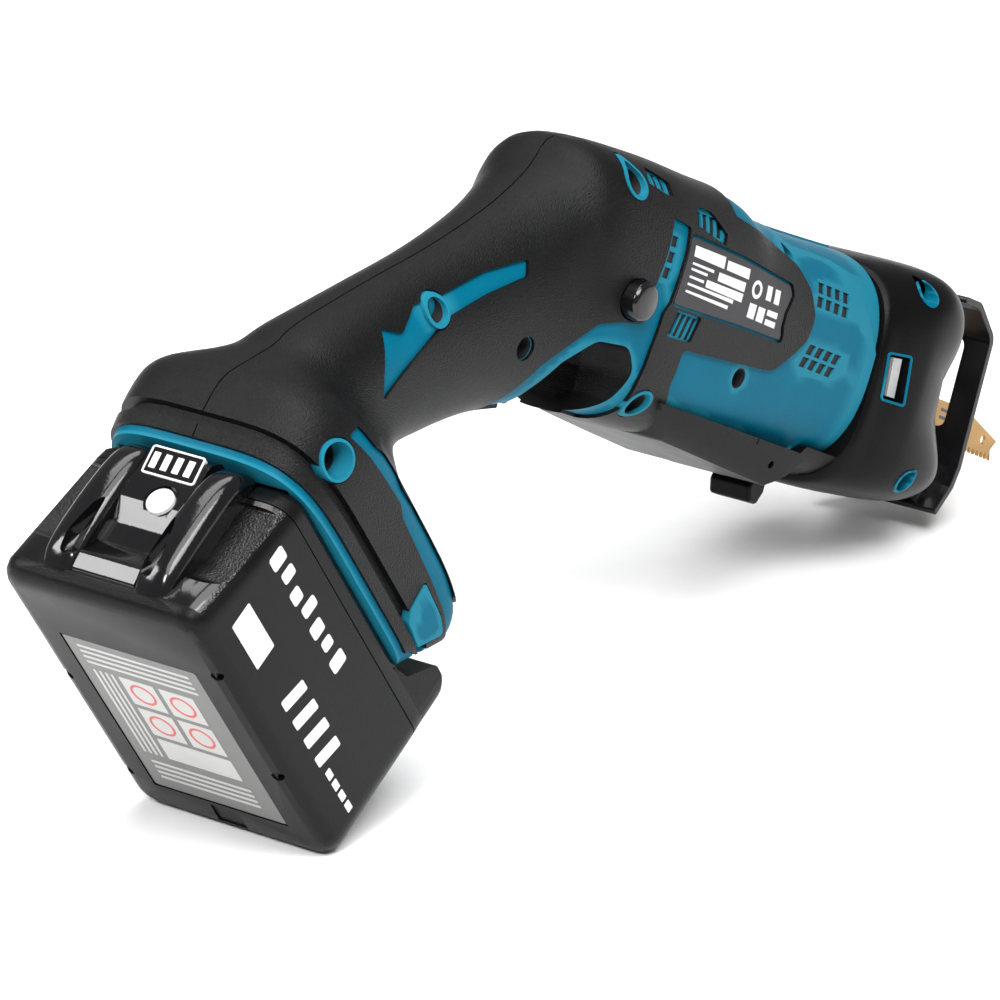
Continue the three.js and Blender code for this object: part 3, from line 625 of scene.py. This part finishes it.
fuse(case, patch(rings, -3.0, 1.45))
piece(case, "case_shell", "case", teal, "teal_plastic", ("housing_right", "housing_left"), bevel=0.3)


def near_outline(outline, x, z, reach):
    """Whether a point is within reach of a closed outline."""
    place = Vector((x, z))
    for a, b in zip(outline, outline[1:] + outline[:1]):
        side = Vector(b) - Vector(a)
        along = min(1, max(0, (place - Vector(a)).dot(side) / max(side.length_squared, 1e-9)))
        if (place - Vector(a) - side * along).length < reach:
            return True
    return False


to_tool_frame = TOOL.inverted()


def in_recess(centre, normal):
    """Faces of the wall round the finger recess, and everything inside it."""
    p = to_tool_frame @ centre
    return abs(normal.y) < 0.5 and near_outline(FINGER, p.x, p.z, 0.6)


# The wall round the finger recess takes the dark rubber, so the recess is dark.
finish_faces(case, rubber, in_recess)

# ---- rubber over the foot, the handle and the motor's rear ----
skin = spine_loft(SKIN)
cut(skin, placed(box(-30, 130, -60, 60, 40, 57.2), PACK))
groove = boolean(placed(box(-30, 130, -60, 60, 61.2, 64.9), PACK), spine_loft(-1.4))
cut(skin, groove, prism(STRAP_EDGE, *THROUGH), *sides_of(SWOOSH), *sides_of(INLAY))
cut(skin, prism(FINGER, *THROUGH), trigger_room())
cut(skin, *sides_of(FOOT_STRIP, matrix=PACK), *sides_of(offset(FOOT_INSET, 0.5), matrix=PACK))
cut(skin, placed(box(97.8, 130, -60, 60, 50, 82), PACK))
openings = [bar_y(6.9, *LOCK, -60, -20), bar_y(6.9, *LOCK, 20, 60), bar_y(3.9, *GRIP_BOSS, -60, -9)]
for window in (SLOT_WINDOW, *TOP_WINDOWS):
    openings += sides_of(window)
openings.append(prism(offset(RATING, 1.0), *RIGHT))
openings += [prism(drop_outline(*KNUCKLE_BOSS, 5.2, 112, 1.75), *RIGHT), bar_y(5.0, *GUARD_BOSS, *RIGHT),
             bar_y(5.7, *HANDLE_BOSS, *RIGHT), bar_y(6.8, *FOOT_BOSS, *RIGHT)]
cut(skin, join(*openings))
seam = boolean(box(-20, 300, -0.25, 0.25, -140, 60), spine_loft(0.75))
cut(skin, seam)
piece(skin, "grip_skin", "case", rubber, "rubber", ("grip_skin_right", "grip_skin_left"), bevel=0.45)
# Thin dark rubber band inside the finger recess, which makes the recess dark.
liner = boolean(frame_prism(offset(FINGER, 0.8), offset(FINGER, -0.3), -40, 40), spine_loft(-0.8),
                "INTERSECT")
cut(liner, trigger_room())
# Painted shade: thin near-black sleeves lining the screw bores below the surface, standing in for the shade
# deep inside each bore.
cups = join(*[frame_prism(drop_outline(*place, 3.72), drop_outline(*place, 3.4), -60, -13.7)
              for place in SMALL_BOSSES],
            frame_prism(drop_outline(*BARREL_BOSS, 3.42), drop_outline(*BARREL_BOSS, 3.1), -60, -13.7))
boolean(cups, spine_loft(-0.1), "INTERSECT")
foot_cup = boolean(frame_prism(drop_outline(*FOOT_BOSS, 5.32), drop_outline(*FOOT_BOSS, 5.0), -60, -13.7),
                   spine_loft(-5), "INTERSECT")
join(cups, foot_cup)
piece(cups, "screw_bore_painted_shade", "case", hollow, "black_plastic")
piece(liner, "finger_recess_liner", "case", rubber, "rubber", bevel=0.2)


# ---- rating plate with generic marks ----
def bars(rows):
    """Small blank bars: x, z, length and height of each."""
    made = []
    for x, z, length, height in rows:
        base = [(x, z), (x + length, z - 0.02 * length)]
        made.append(prism([*base, (x + length, z + height), (x, z + height)], -60, -20))
    return made


label = patch([prism(RATING, -60, -20)], -0.4, 0.75)
piece(label, "rating_plate_body", "case", plate_face, "black_plastic", ("rating_plate",), bevel=0.2)
lines = [(203, 15.9, 17, 3.4), (221.5, 15.6, 13, 3.0), (203, 13.4, 12, 0.7), (203, 11.6, 9, 0.7),
         (203, 9.2, 8, 0.7), (203, 6.9, 26, 0.7), (203, 4.6, 24, 0.7), (218, 11.4, 15.5, 2.7),
         (212.5, 8.2, 21, 2.3), (238.5, 4.2, 4, 4.6), (243.8, 4.1, 4, 4.6), (249.2, 4.0, 6, 1.8),
         (249.2, 7.0, 6, 1.8), (246.5, 11.4, 3, 4.6), (251.5, 11.2, 3, 4.6)]
marks = bars(lines) + [frame_prism(drop_outline(240.5, 13.4, 2.9), drop_outline(240.5, 13.4, 1.7), -60, -20)]
piece(patch(marks, 0.6, 0.82), "rating_plate_marks", "case", print_white, "white_plastic")

# ---- crank cover, lever ----
cover = loft([
    super_loop(Vector((x, 0, -8)), Vector((0, half, 0)), Vector((0, 0, depth - 8)), 4)
    for x, half, depth in ((200, 30.5, 41), (235, 31.5, 45), (290, 31.5, 51), (312, 31, 50), (330, 30, 46))])
cover_shape = rounded(
    [(211, -29.9), (213, -32), (226, -40.6), (256, -42), (287, -43.2), (306, -42.2), (317, -37),
     (319, -29.9)],
    [0, 2, 5, 12, 12, 9, 6, 0])
boolean(cover, prism(cover_shape, -40, 40), "INTERSECT")
cut(cover, box(303.5, 322, -8.8, 8.8, -60, -37.3), bar_y(4.9, 312, -37.4, -8.8, 8.8))
cut(cover, *[box(268, 268.6, y0, y1, -60, -30) for y0, y1 in ((-60, -30.4), (30.4, 60))])
cut(cover, *[bar_y(1.3, 281, -36.4, y0, y1, 20) for y0, y1 in ((-60, -28), (28, 60))])
NOSE_FOOT = [(300.6, -27), (303, -36), (310, -38.4), (326, -38.6), (326, -27)]
cut(cover, *sides_of([(284, -50), (285, -43), (292, -38), (299, -30), (299, -20), (340, -20), (340, -50)],
                     ((-60, -11), (11, 60))))
piece(cover, "crank_cover_shell", "case", black, "black_plastic", ("crank_cover",), bevel=1.0, segments=3,
      angle=25)
tab_line = [(309, -36), (315.5, -36), (316.2, -44), (313.8, -48.6), (308.6, -48.6), (306.6, -44)]
tab = prism(rounded(tab_line, 1.6), -8, 8)
piece(tab, "shoe_lever_tab", "shoe_lock", black, "black_plastic", ("shoe_lever",), bevel=1.6, segments=4)

# ---- nose ----
# Nose, from its back to its front: x, low z, high z, half width, squareness.
NOSE = [
    (318.8, -37, 36, 33.6, 3.2), (320.5, -38.5, 37.2, 34.8, 3.4), (325, -39, 38.5, 36, 3.7),
    (333, -38.8, 40.2, 38.3, 4), (343, -37.8, 41.3, 40, 4.4), (352, -36.8, 41.5, 40.2, 4.6),
    (360, -35.6, 40.4, 39.2, 4.4), (366, -33.8, 38, 36.6, 4), (368.2, -31, 35, 33.5, 3.8),
]
NOSE_SIDES = 120


def bell(value, centre, width):
    return math.exp(-(((value - centre) / width) ** 2))


def nose_shape(point):
    """Waist between the nose's upper and lower lobes, and the lower lobe pushed forwards."""
    ahead = min(1, max(0, (point.x - 340) / 24))
    waist = ahead * bell(point.z, 4, 17)
    point.y *= 1 - 0.13 * waist
    push = 6.4 * bell(point.z, -24, 11) - 2.5 * bell(point.z, 4, 15) - 2.4 * bell(point.z, 36, 14)
    point.x += ahead * push
    return point


def nose_loft(grow):
    """The nose's outside, moved outwards by that distance."""
    loops = []
    for x, low, high, half, square in spread(NOSE, 5):
        across = Vector((0, half + grow, 0))
        up = Vector((0, 0, (high - low) / 2 + grow))
        loops.append(super_loop(Vector((x, 0, (low + high) / 2)), across, up, square, NOSE_SIDES))
    return reshape(loft(loops), nose_shape)


nose = nose_loft(0)
nose_back = loft([super_loop(Vector((x, 0, 0)), Vector((0, half, 0)), Vector((0, 0, 36.8)), 3.2, NOSE_SIDES)
                  for x, half in ((300.5, 32.6), (322, 34))])
boolean(nose_back, prism(rounded(NOSE_FOOT, [1, 3, 5, 0, 0]), *THROUGH), "INTERSECT")
cut(nose_back, spine_loft(0.5), box(290, 330, -11, 11, -60, 0))
fuse(nose, nose_back)
mouth = [super_loop(Vector((x, 0, 2)), Vector((0, 29, 0)), Vector((0, 0, 31)), 4) for x in (336, 390)]
cut(nose, loft(mouth))
UPPER_NOSE, LOWER_NOSE = (336, 32.6), (349.5, -27.5)
nose_drops = [(UPPER_NOSE, 120), (LOWER_NOSE, 60)]
cut(nose, *[prism(drop_outline(*place, 3.9, angle, 1.5), -60, -26) for place, angle in nose_drops])
NOSE_WINDOW = rounded([(324.3, -4.4), (333.3, -4.2), (330.9, 10.6), (322.3, 9.6)], 0.6)
cut(nose, prism(NOSE_WINDOW, -60, -32))
cut(nose, bar_y(1.5, 316, -30, -60, -28, 20))
piece(nose, "nose_shell", "case", black, "rubber", ("nose_cover",), bevel=0.6, segments=3)
nose_rings = join(*[
    frame_prism(drop_outline(*place, 4.0, angle, 1.5), drop_outline(*place, 3.3, angle, 1.5), -44, -31)
    for place, angle in nose_drops])
window_frame = frame_prism(offset(NOSE_WINDOW, -0.1), offset(NOSE_WINDOW, -0.9), -60, -33)
for raised in (nose_rings, window_frame):
    boolean(raised, nose_loft(0.35), "INTERSECT")
window_insert = prism([(325.3, -3.4), (330.3, -3.3), (328.3, 9.6), (323.4, 9.0)], -36.6, -32.8)
# Painted shade: a near-black block in the nose window beside the silver insert, standing in for the shade in
# that gap.
window_gap = prism([(330.5, -3.4), (332.3, -3.3), (330.3, 9.7), (328.5, 9.5)], -35, -32.8)
piece(nose_rings, "nose_boss_rings", "case", teal, "teal_plastic", bevel=0.1)
piece(window_frame, "nose_window_frame", "case", teal, "teal_plastic", bevel=0.1)
piece(window_insert, "nose_window_insert", "case", silver, "aluminium", bevel=0.1)
piece(window_gap, "nose_window_gap_shade", "case", hollow, "black_plastic", bevel=0.1)

# ---- shoe ----
arm_line = rounded(
    [(296, -20.4), (380, -20.4), (386, -27.5), (393, -28.6), (394.6, -21), (388, -16.8), (296, -16.8)],
    [0.5, 3, 3, 3, 3, 3, 0.5])
piece(prism(arm_line, -11.8, 11.8), "shoe_bar", "shoe_slide_bar", dark_steel, "steel", ("shoe_arm",),
      bevel=0.5)
outer = [(376, 38.2), (386, 38.2), (400, 29), (402.4, -16), (401, -23), (395, -33.5)]
inner = [(393.5, -32), (398.8, -22.6), (400, -16), (397.7, 28), (385.2, 35.9), (376, 35.9)]
plate = prism(rounded(outer + inner, [0.8, 5, 6, 3, 3, 1, 1, 3, 3, 5, 4, 0.8]), -25, 25)
ear_line = rounded([(386, -28), (396, -31), (400, -14), (394, -12), (386, -21)], 1.5)
ears = [prism(ear_line, y, y + 2.6) for y in (-16, 13.4)]
fuse(plate, *ears)
window_line = rounded(
    [(-6.4, -13.6), (6.4, -13.6), (6.4, -4), (15.5, -4), (15.5, 26.5), (-15.5, 26.5), (-15.5, -4),
     (-6.4, -4)],
    [2, 2, 0.5, 3, 4, 4, 3, 0.5])
cut(plate, placed(prism(window_line, -410, -380), Matrix.Rotation(math.radians(90), 4, "Z")))
rivets = [bar(1.3, (x, -14, z), (x, -17.2, z), 16) for x, z in ((391.5, -16), (396, -24))]
piece(join(plate, *rivets), "shoe_face", "shoe", dark_steel, "black_steel", ("shoe_plate",), bevel=0.6,
      segments=3)

# ---- blade ----
teeth = []
tooth_x = 460.0
while tooth_x > 404:
    teeth += [(tooth_x, -7.5), (tooth_x - 0.9, -5.6), (tooth_x - 1.6, -5.6)]
    tooth_x -= 2.8
blade_line = [(458.4, -4), *teeth, (402, -5.8), (362, -5.8), (362, 6), (436, 6), (461, -0.5)]
blade = prism(blade_line, -0.6, 0.6)
cut(blade, bar_y(1.6, 452, -1.6, -2, 2, 20))
piece(blade, "saw_blade_body", "saw_blade", gold, "blade_coat", ("blade",), bevel=0.1, segments=1)
etch = [prism([(x, z), (x + w, z), (x + w, z + 1.1), (x, z + 1.1)], -0.64, 0.64)
        for x, z, w in ((408, 2.4, 9), (408, -0.2, 6), (420, 2.4, 14), (420, -0.2, 9), (432, -0.2, 5))]
piece(join(*etch), "blade_etched_bars", "saw_blade", dark_steel, "black_steel")
sleeve = bar(11.4, (360, 0, 0), (374.5, 0, 0), 48)
cut(sleeve, bar(8.75, (350, 0, 0), (380, 0, 0), 48))
lug = prism(rounded([(362, 10), (373, 10), (373, 14.2), (362, 14.2)], [0, 0, 1, 1]), -2, 2)
for k in range(16):
    y, z = 11.8 * math.cos(math.tau * k / 16), 11.8 * math.sin(math.tau * k / 16)
    cut(sleeve, bar(1.0, (355, y, z), (380, y, z), 10))
piece(join(sleeve, lug), "clamp_ring", "sleeve", dark_steel, "black_steel", ("clamp_sleeve",), bevel=0.3)

# ---- trigger and lock-off button ----
piece(prism(TRIGGER, -8.8, 8.8), "trigger_pad", "trigger_lever", black, "black_plastic", ("trigger",),
      bevel=2.2, segments=4)
knob_rows = [(-34.6, 4.6), (-34.2, 5.6), (-33.2, 6.3), (-29, 6.5), (29, 6.5), (33.2, 6.3), (34.2, 5.6),
             (34.6, 4.6)]
knob = loft([super_loop(Vector((LOCK[0], y, LOCK[1])), Vector((radius, 0, 0)), Vector((0, 0, radius)), 2, 48)
             for y, radius in knob_rows])
piece(knob, "lock_off_bar", "lock_bar", gloss, "black_plastic", ("lock_off_button",), bevel=0.2)

# ---- battery pack ----
lower = slab([
    (0, 6, 112, 33, 5), (0.8, 3.6, 114.1, 35.4, 6.5), (2.6, 2, 115.6, 36.9, 8), (5.5, 1.2, 117, 37.5, 8.5),
    (25, 3.8, 117, 37.5, 8.5), (47.5, 6.6, 117, 37.5, 8.5)])
PANEL = rounded([(-9, 14), (0.4, 12.4), (4.4, 17), (6.2, 24), (8.0, 45.6), (-9, 47)], [0, 1, 3, 6, 1, 0])
cut(lower, *[prism(PANEL, y0, y1) for y0, y1 in ((-36.2, -22.6), (22.6, 36.2))])


def rib(side):
    """Rounded upright ridge at the pack's rear, one each side of the gauge."""
    rows = [(3, 2.6, 5.6), (8, -1.2, 6.6), (14, -3.2, 6.8), (26, -4, 6.7), (38, -3.8, 6.4), (46, -2.6, 6),
            (51, 0.2, 5.4), (53.6, 4.2, 4.4)]
    return loft([super_loop(Vector(((front + 10) / 2, side * 17.2, h)), Vector(((10 - front) / 2, 0, 0)),
                            Vector((0, half, 0)), 2.8, 40) for h, front, half in spread(rows, 4)])


tongue_line = rounded(
    [(10, 6), (1, 6), (-0.6, 12), (2.4, 18), (2.2, 26), (-0.8, 33), (-1, 50), (2, 53.6), (10, 53.6)],
    [0, 2, 2, 5, 6, 4, 3, 2, 0])
tongue = prism(tongue_line, -11.4, 11.4)
fuse(lower, tongue, rib(-1), rib(1))


def scoop(side):
    """Pointed arch hollowed into the foot of a rib."""
    arch = rounded([(-3.4, 8), (2.6, 8), (3.2, 16), (0.6, 27), (-1.6, 31)], [2, 2, 6, 2, 1])
    rows = []
    for reach, u in ((1.0, -8), (0.95, -2.4), (0.8, -0.6), (0.5, 0.4)):
        rows.append([Vector((u, side * 14.4 + side * p[0] * reach, 19 + (p[1] - 19) * reach)) for p in arch])
    return loft(rows)


cut(lower, scoop(-1), scoop(1))
cut(lower, bar(5.6, (-5, -3, 34.5), (0.1, -3, 34.5), 40))
cut(lower, *[bar(1.9, (u, y, -1), (u, y, 3), 20) for u, y in ((27, -34), (75, -34), (52, 34), (99, 34))])
cut(lower, box(28.4, 102.6, -25.6, 25.6, -1, 0.35), box(104, 112, -6, 5, -1, 0.5))
pack_piece(lower, "pack_lower_shell", charcoal, "black_plastic", ("pack_lower_case",), bevel=0.7, segments=3)
to_pack = PACK_PLACE.inverted()


def on_rear_end(centre, _normal):
    """Faces of the pack's rear end, between its side walls."""
    p = to_pack @ centre
    return p.x < 8.6 and p.z > 5.5 and abs(p.y) < 36.4


def on_side_panel(centre, _normal):
    """Faces of the two panels beside the ribs."""
    p = to_pack @ centre
    return 16 < p.z < 46 and 2 < p.x < 8.4 and 23 < abs(p.y) < 36


finish_faces(lower, gloss, on_rear_end)
finish_faces(lower, speckled, on_side_panel)
upper = slab([(47.9, 6.6, 117, 37.5, 8.5), (52, 7.4, 117, 37.3, 8.5), (54.4, 9.5, 115, 35.5, 7.5)])
front_line = rounded(
    [(88, 49), (117, 49), (117.2, 56.5), (114, 63), (108.5, 66.2), (103.4, 66.4), (95, 55), (88, 53)],
    [0, 0, 5, 5, 5, 3, 2, 0])
front = prism(front_line, -37.2, 37.2)
boolean(front, slab([(40, 60, 117.4, 37.2, 9), (80, 60, 117.4, 37.2, 9)]), "INTERSECT")
fuse(upper, box(12, 100, -27, 27, 54, 59.5), box(12, 96, -31, 31, 59, 64.5), front)
cut(upper, box(94, 120, -16.5, 16.5, 49, 70), box(0, 10.6, -22.6, 22.6, 40, 60))
pack_piece(upper, "pack_upper_shell", charcoal, "gloss_black", ("pack_upper_case",), bevel=0.5)
catch_line = [(104, 50), (117.5, 50), (117.5, 62), (104, 62), (104, 56), (99, 56), (99, 52), (104, 52)]
catch = prism(rounded(catch_line, 1), -15.5, 15.5)
pack_piece(catch, "pack_release_pad", black, "black_plastic", ("pack_release_button",), "pack_release",
           bevel=0.8)


def end_block(points, u0, u1, name, material, slot_name, replaces=(), bevel=0.0):
    """Thin piece on the pack's rear, from an outline in y and h."""
    flat = prism([(-y, h) for y, h in points], u0, u1)
    placed(flat, Matrix.Rotation(math.radians(-90), 4, "Z"))
    return pack_piece(flat, name, material, slot_name, replaces, bevel=bevel)


SLANT = 1.6  # lean of the gauge's ends
gauge_outer = rounded([(-9.5, 42.6), (10.5 - SLANT, 42.6), (10.5, 51.4), (-9.5 + SLANT, 51.4)], 0.5)
end_block(gauge_outer, -1.15, 0.4, "gauge_back", gloss, "white_plastic", ("charge_gauge",))
outer, inner = ([(-p.x, p.y) for p in line] for line in (gauge_outer, offset(gauge_outer, -0.6)))
ring = frame_prism(outer, inner, -1.3, 0.2)
placed(ring, Matrix.Rotation(math.radians(-90), 4, "Z"))
pack_piece(ring, "gauge_frame", print_white, "white_plastic")
for k in range(4):
    y = -7.0 + k * 4.3
    bar_line = [(y, 44.2), (y + 2.3, 44.2), (y + 2.3 + SLANT * 0.6, 49.8), (y + SLANT * 0.6, 49.8)]
    end_block(bar_line, -1.35, 0.2, f"gauge_bar_{k + 1}", lens, "white_plastic", bevel=0.1)
check = bar(4.4, (-1.5, -3, 34.5), (7.6, -3, 34.5), 48)
pack_piece(check, "check_button_pad", lens, "white_plastic", ("charge_check_button",), "check_button",
           bevel=0.5)


def flat_marks(shapes, level, thickness=0.12):
    """Thin shapes on the pack's base: outlines in u and y."""
    made = []
    for shape in shapes:
        mark = prism(shape, -level - thickness, -level)
        made.append(placed(mark, Matrix.Rotation(math.radians(90), 4, "X")))
    return join(*made)


def block(u, v, length, height, radius=0.4):
    """Rounded rectangle from its low corner."""
    return rounded([(u, v), (u + length, v), (u + length, v + height), (u, v + height)], radius)


label = flat_marks([block(29, -25, 73, 50, 1)], -0.32)
pack_piece(label, "pack_base_label", grey_label, "white_plastic")
panes = [block(u, y, 13, 13) for y in (4, -11) for u in (44, 59)]
panes.append(block(74, -11, 10, 28))
stripes = [block(32 + k * 2.6, -21, 1.1, 42, 0.2) for k in range(4)]
stripes += [block(44, -14 - k * 2.2, 40, 1.0, 0.2) for k in range(4)]
stripes += [block(88 + k * 2.6, -20, 1.1, 38, 0.2) for k in range(4)]
pack_piece(flat_marks(panes + stripes, -0.2), "pack_base_marks", print_grey, "white_plastic")
rings = [frame_prism(drop_outline(u, v, 4.6), drop_outline(u, v, 3.7), 0.0, 0.1)
         for u, v in ((50.5, 10.5), (65.5, 10.5), (50.5, -4.5), (65.5, -4.5))]
flat = placed(join(*rings), Matrix.Rotation(math.radians(90), 4, "X"))
pack_piece(flat, "pack_base_rings", print_red, "white_plastic")

side_marks = [block(13 + k * 8, 33 + k % 2, 5.4 - k % 2, 6.6 - k % 3, 1.2) for k in range(7)]
side_marks += [block(16, 11, 20, 9.2, 0.6)]
side_marks += [rounded([(u, 12), (u + 4.4, 12), (u + 6.4, 22.6), (u + 2.0, 22.6)], 0.8)
               for u in (53, 62, 71, 80)]
side_marks += [block(88 + k * 5.2, 12.6, 3.8, 2.4, 0.4) for k in range(4)]
made = [prism(shape, y0, y1) for shape in side_marks for y0, y1 in ((-37.6, -37.3), (37.3, 37.6))]
pack_piece(join(*made), "pack_side_marks", print_white, "white_plastic")

# ---- camera, light and floor ----
CAMERA_PLACE = Vector((-1473.4, -1141.5, 13.6 - AXIS_HEIGHT))
CAMERA_RIGHT = Vector((0.539, -0.7945, 0.2798))
CAMERA_UP = Vector((-0.1775, 0.2176, 0.9598))
turn = TOOL.to_3x3().normalized()
right, above = (turn @ CAMERA_RIGHT).normalized(), (turn @ CAMERA_UP).normalized()
back = right.cross(above).normalized()
camera_data = bpy.data.cameras.new("camera")
camera_data.sensor_width = 36
camera_data.lens = 236.1
camera_data.clip_end = 20
camera = bpy.data.objects.new("camera", camera_data)
aimed = Matrix((right, above, back)).transposed().to_4x4()
camera.matrix_world = Matrix.Translation(TOOL @ CAMERA_PLACE) @ aimed
bpy.context.scene.collection.objects.link(camera)
bpy.context.scene.camera = camera

floor = add_object("floor", [(-6, -6, 0), (6, -6, 0), (6, 6, 0), (-6, 6, 0)], [(0, 1, 2, 3)])
FLOOR_DROP = 0.0003  # metres below the pack's edge
floor.data.transform(Matrix.Translation((0, 0, -FLOOR_DROP)))
floor.data.materials.append(shade("pale_floor", (0.9, 0.9, 0.9), 0.8, mottle=0.01))


def area_light(name, where, size, power, aim=(0, 0, 0.08)):
    data = bpy.data.lights.new(name, "AREA")
    data.shape = "RECTANGLE"
    data.size, data.size_y = size
    data.energy = power
    light = bpy.data.objects.new(name, data)
    light.location = where
    light.rotation_euler = (Vector(aim) - Vector(where)).to_track_quat("-Z", "Y").to_euler()
    bpy.context.scene.collection.objects.link(light)


area_light("key", (-0.5, -1.0, 1.4), (0.9, 0.6), 16)
area_light("highlight", (-1.3, -0.5, 1.1), (0.35, 0.35), 14)
area_light("top", (0.2, 0.4, 1.6), (1.2, 0.8), 14)
area_light("rear_strip", (-1.0, 0.95, 0.95), (0.5, 0.6), 12)
sun = bpy.data.objects.new("sun", bpy.data.lights.new("sun", "SUN"))
sun.data.energy = 2.3
sun.data.angle = math.radians(45)
sun.rotation_euler = (math.radians(18), math.radians(-14), 0)
bpy.context.scene.collection.objects.link(sun)
world = bpy.data.worlds.new("studio")
world.use_nodes = True
world.node_tree.nodes["Background"].inputs["Color"].default_value = (1, 1, 1, 1)
world.node_tree.nodes["Background"].inputs["Strength"].default_value = 0.3
bpy.context.scene.world = world
bpy.context.scene.view_settings.view_transform = "Standard"
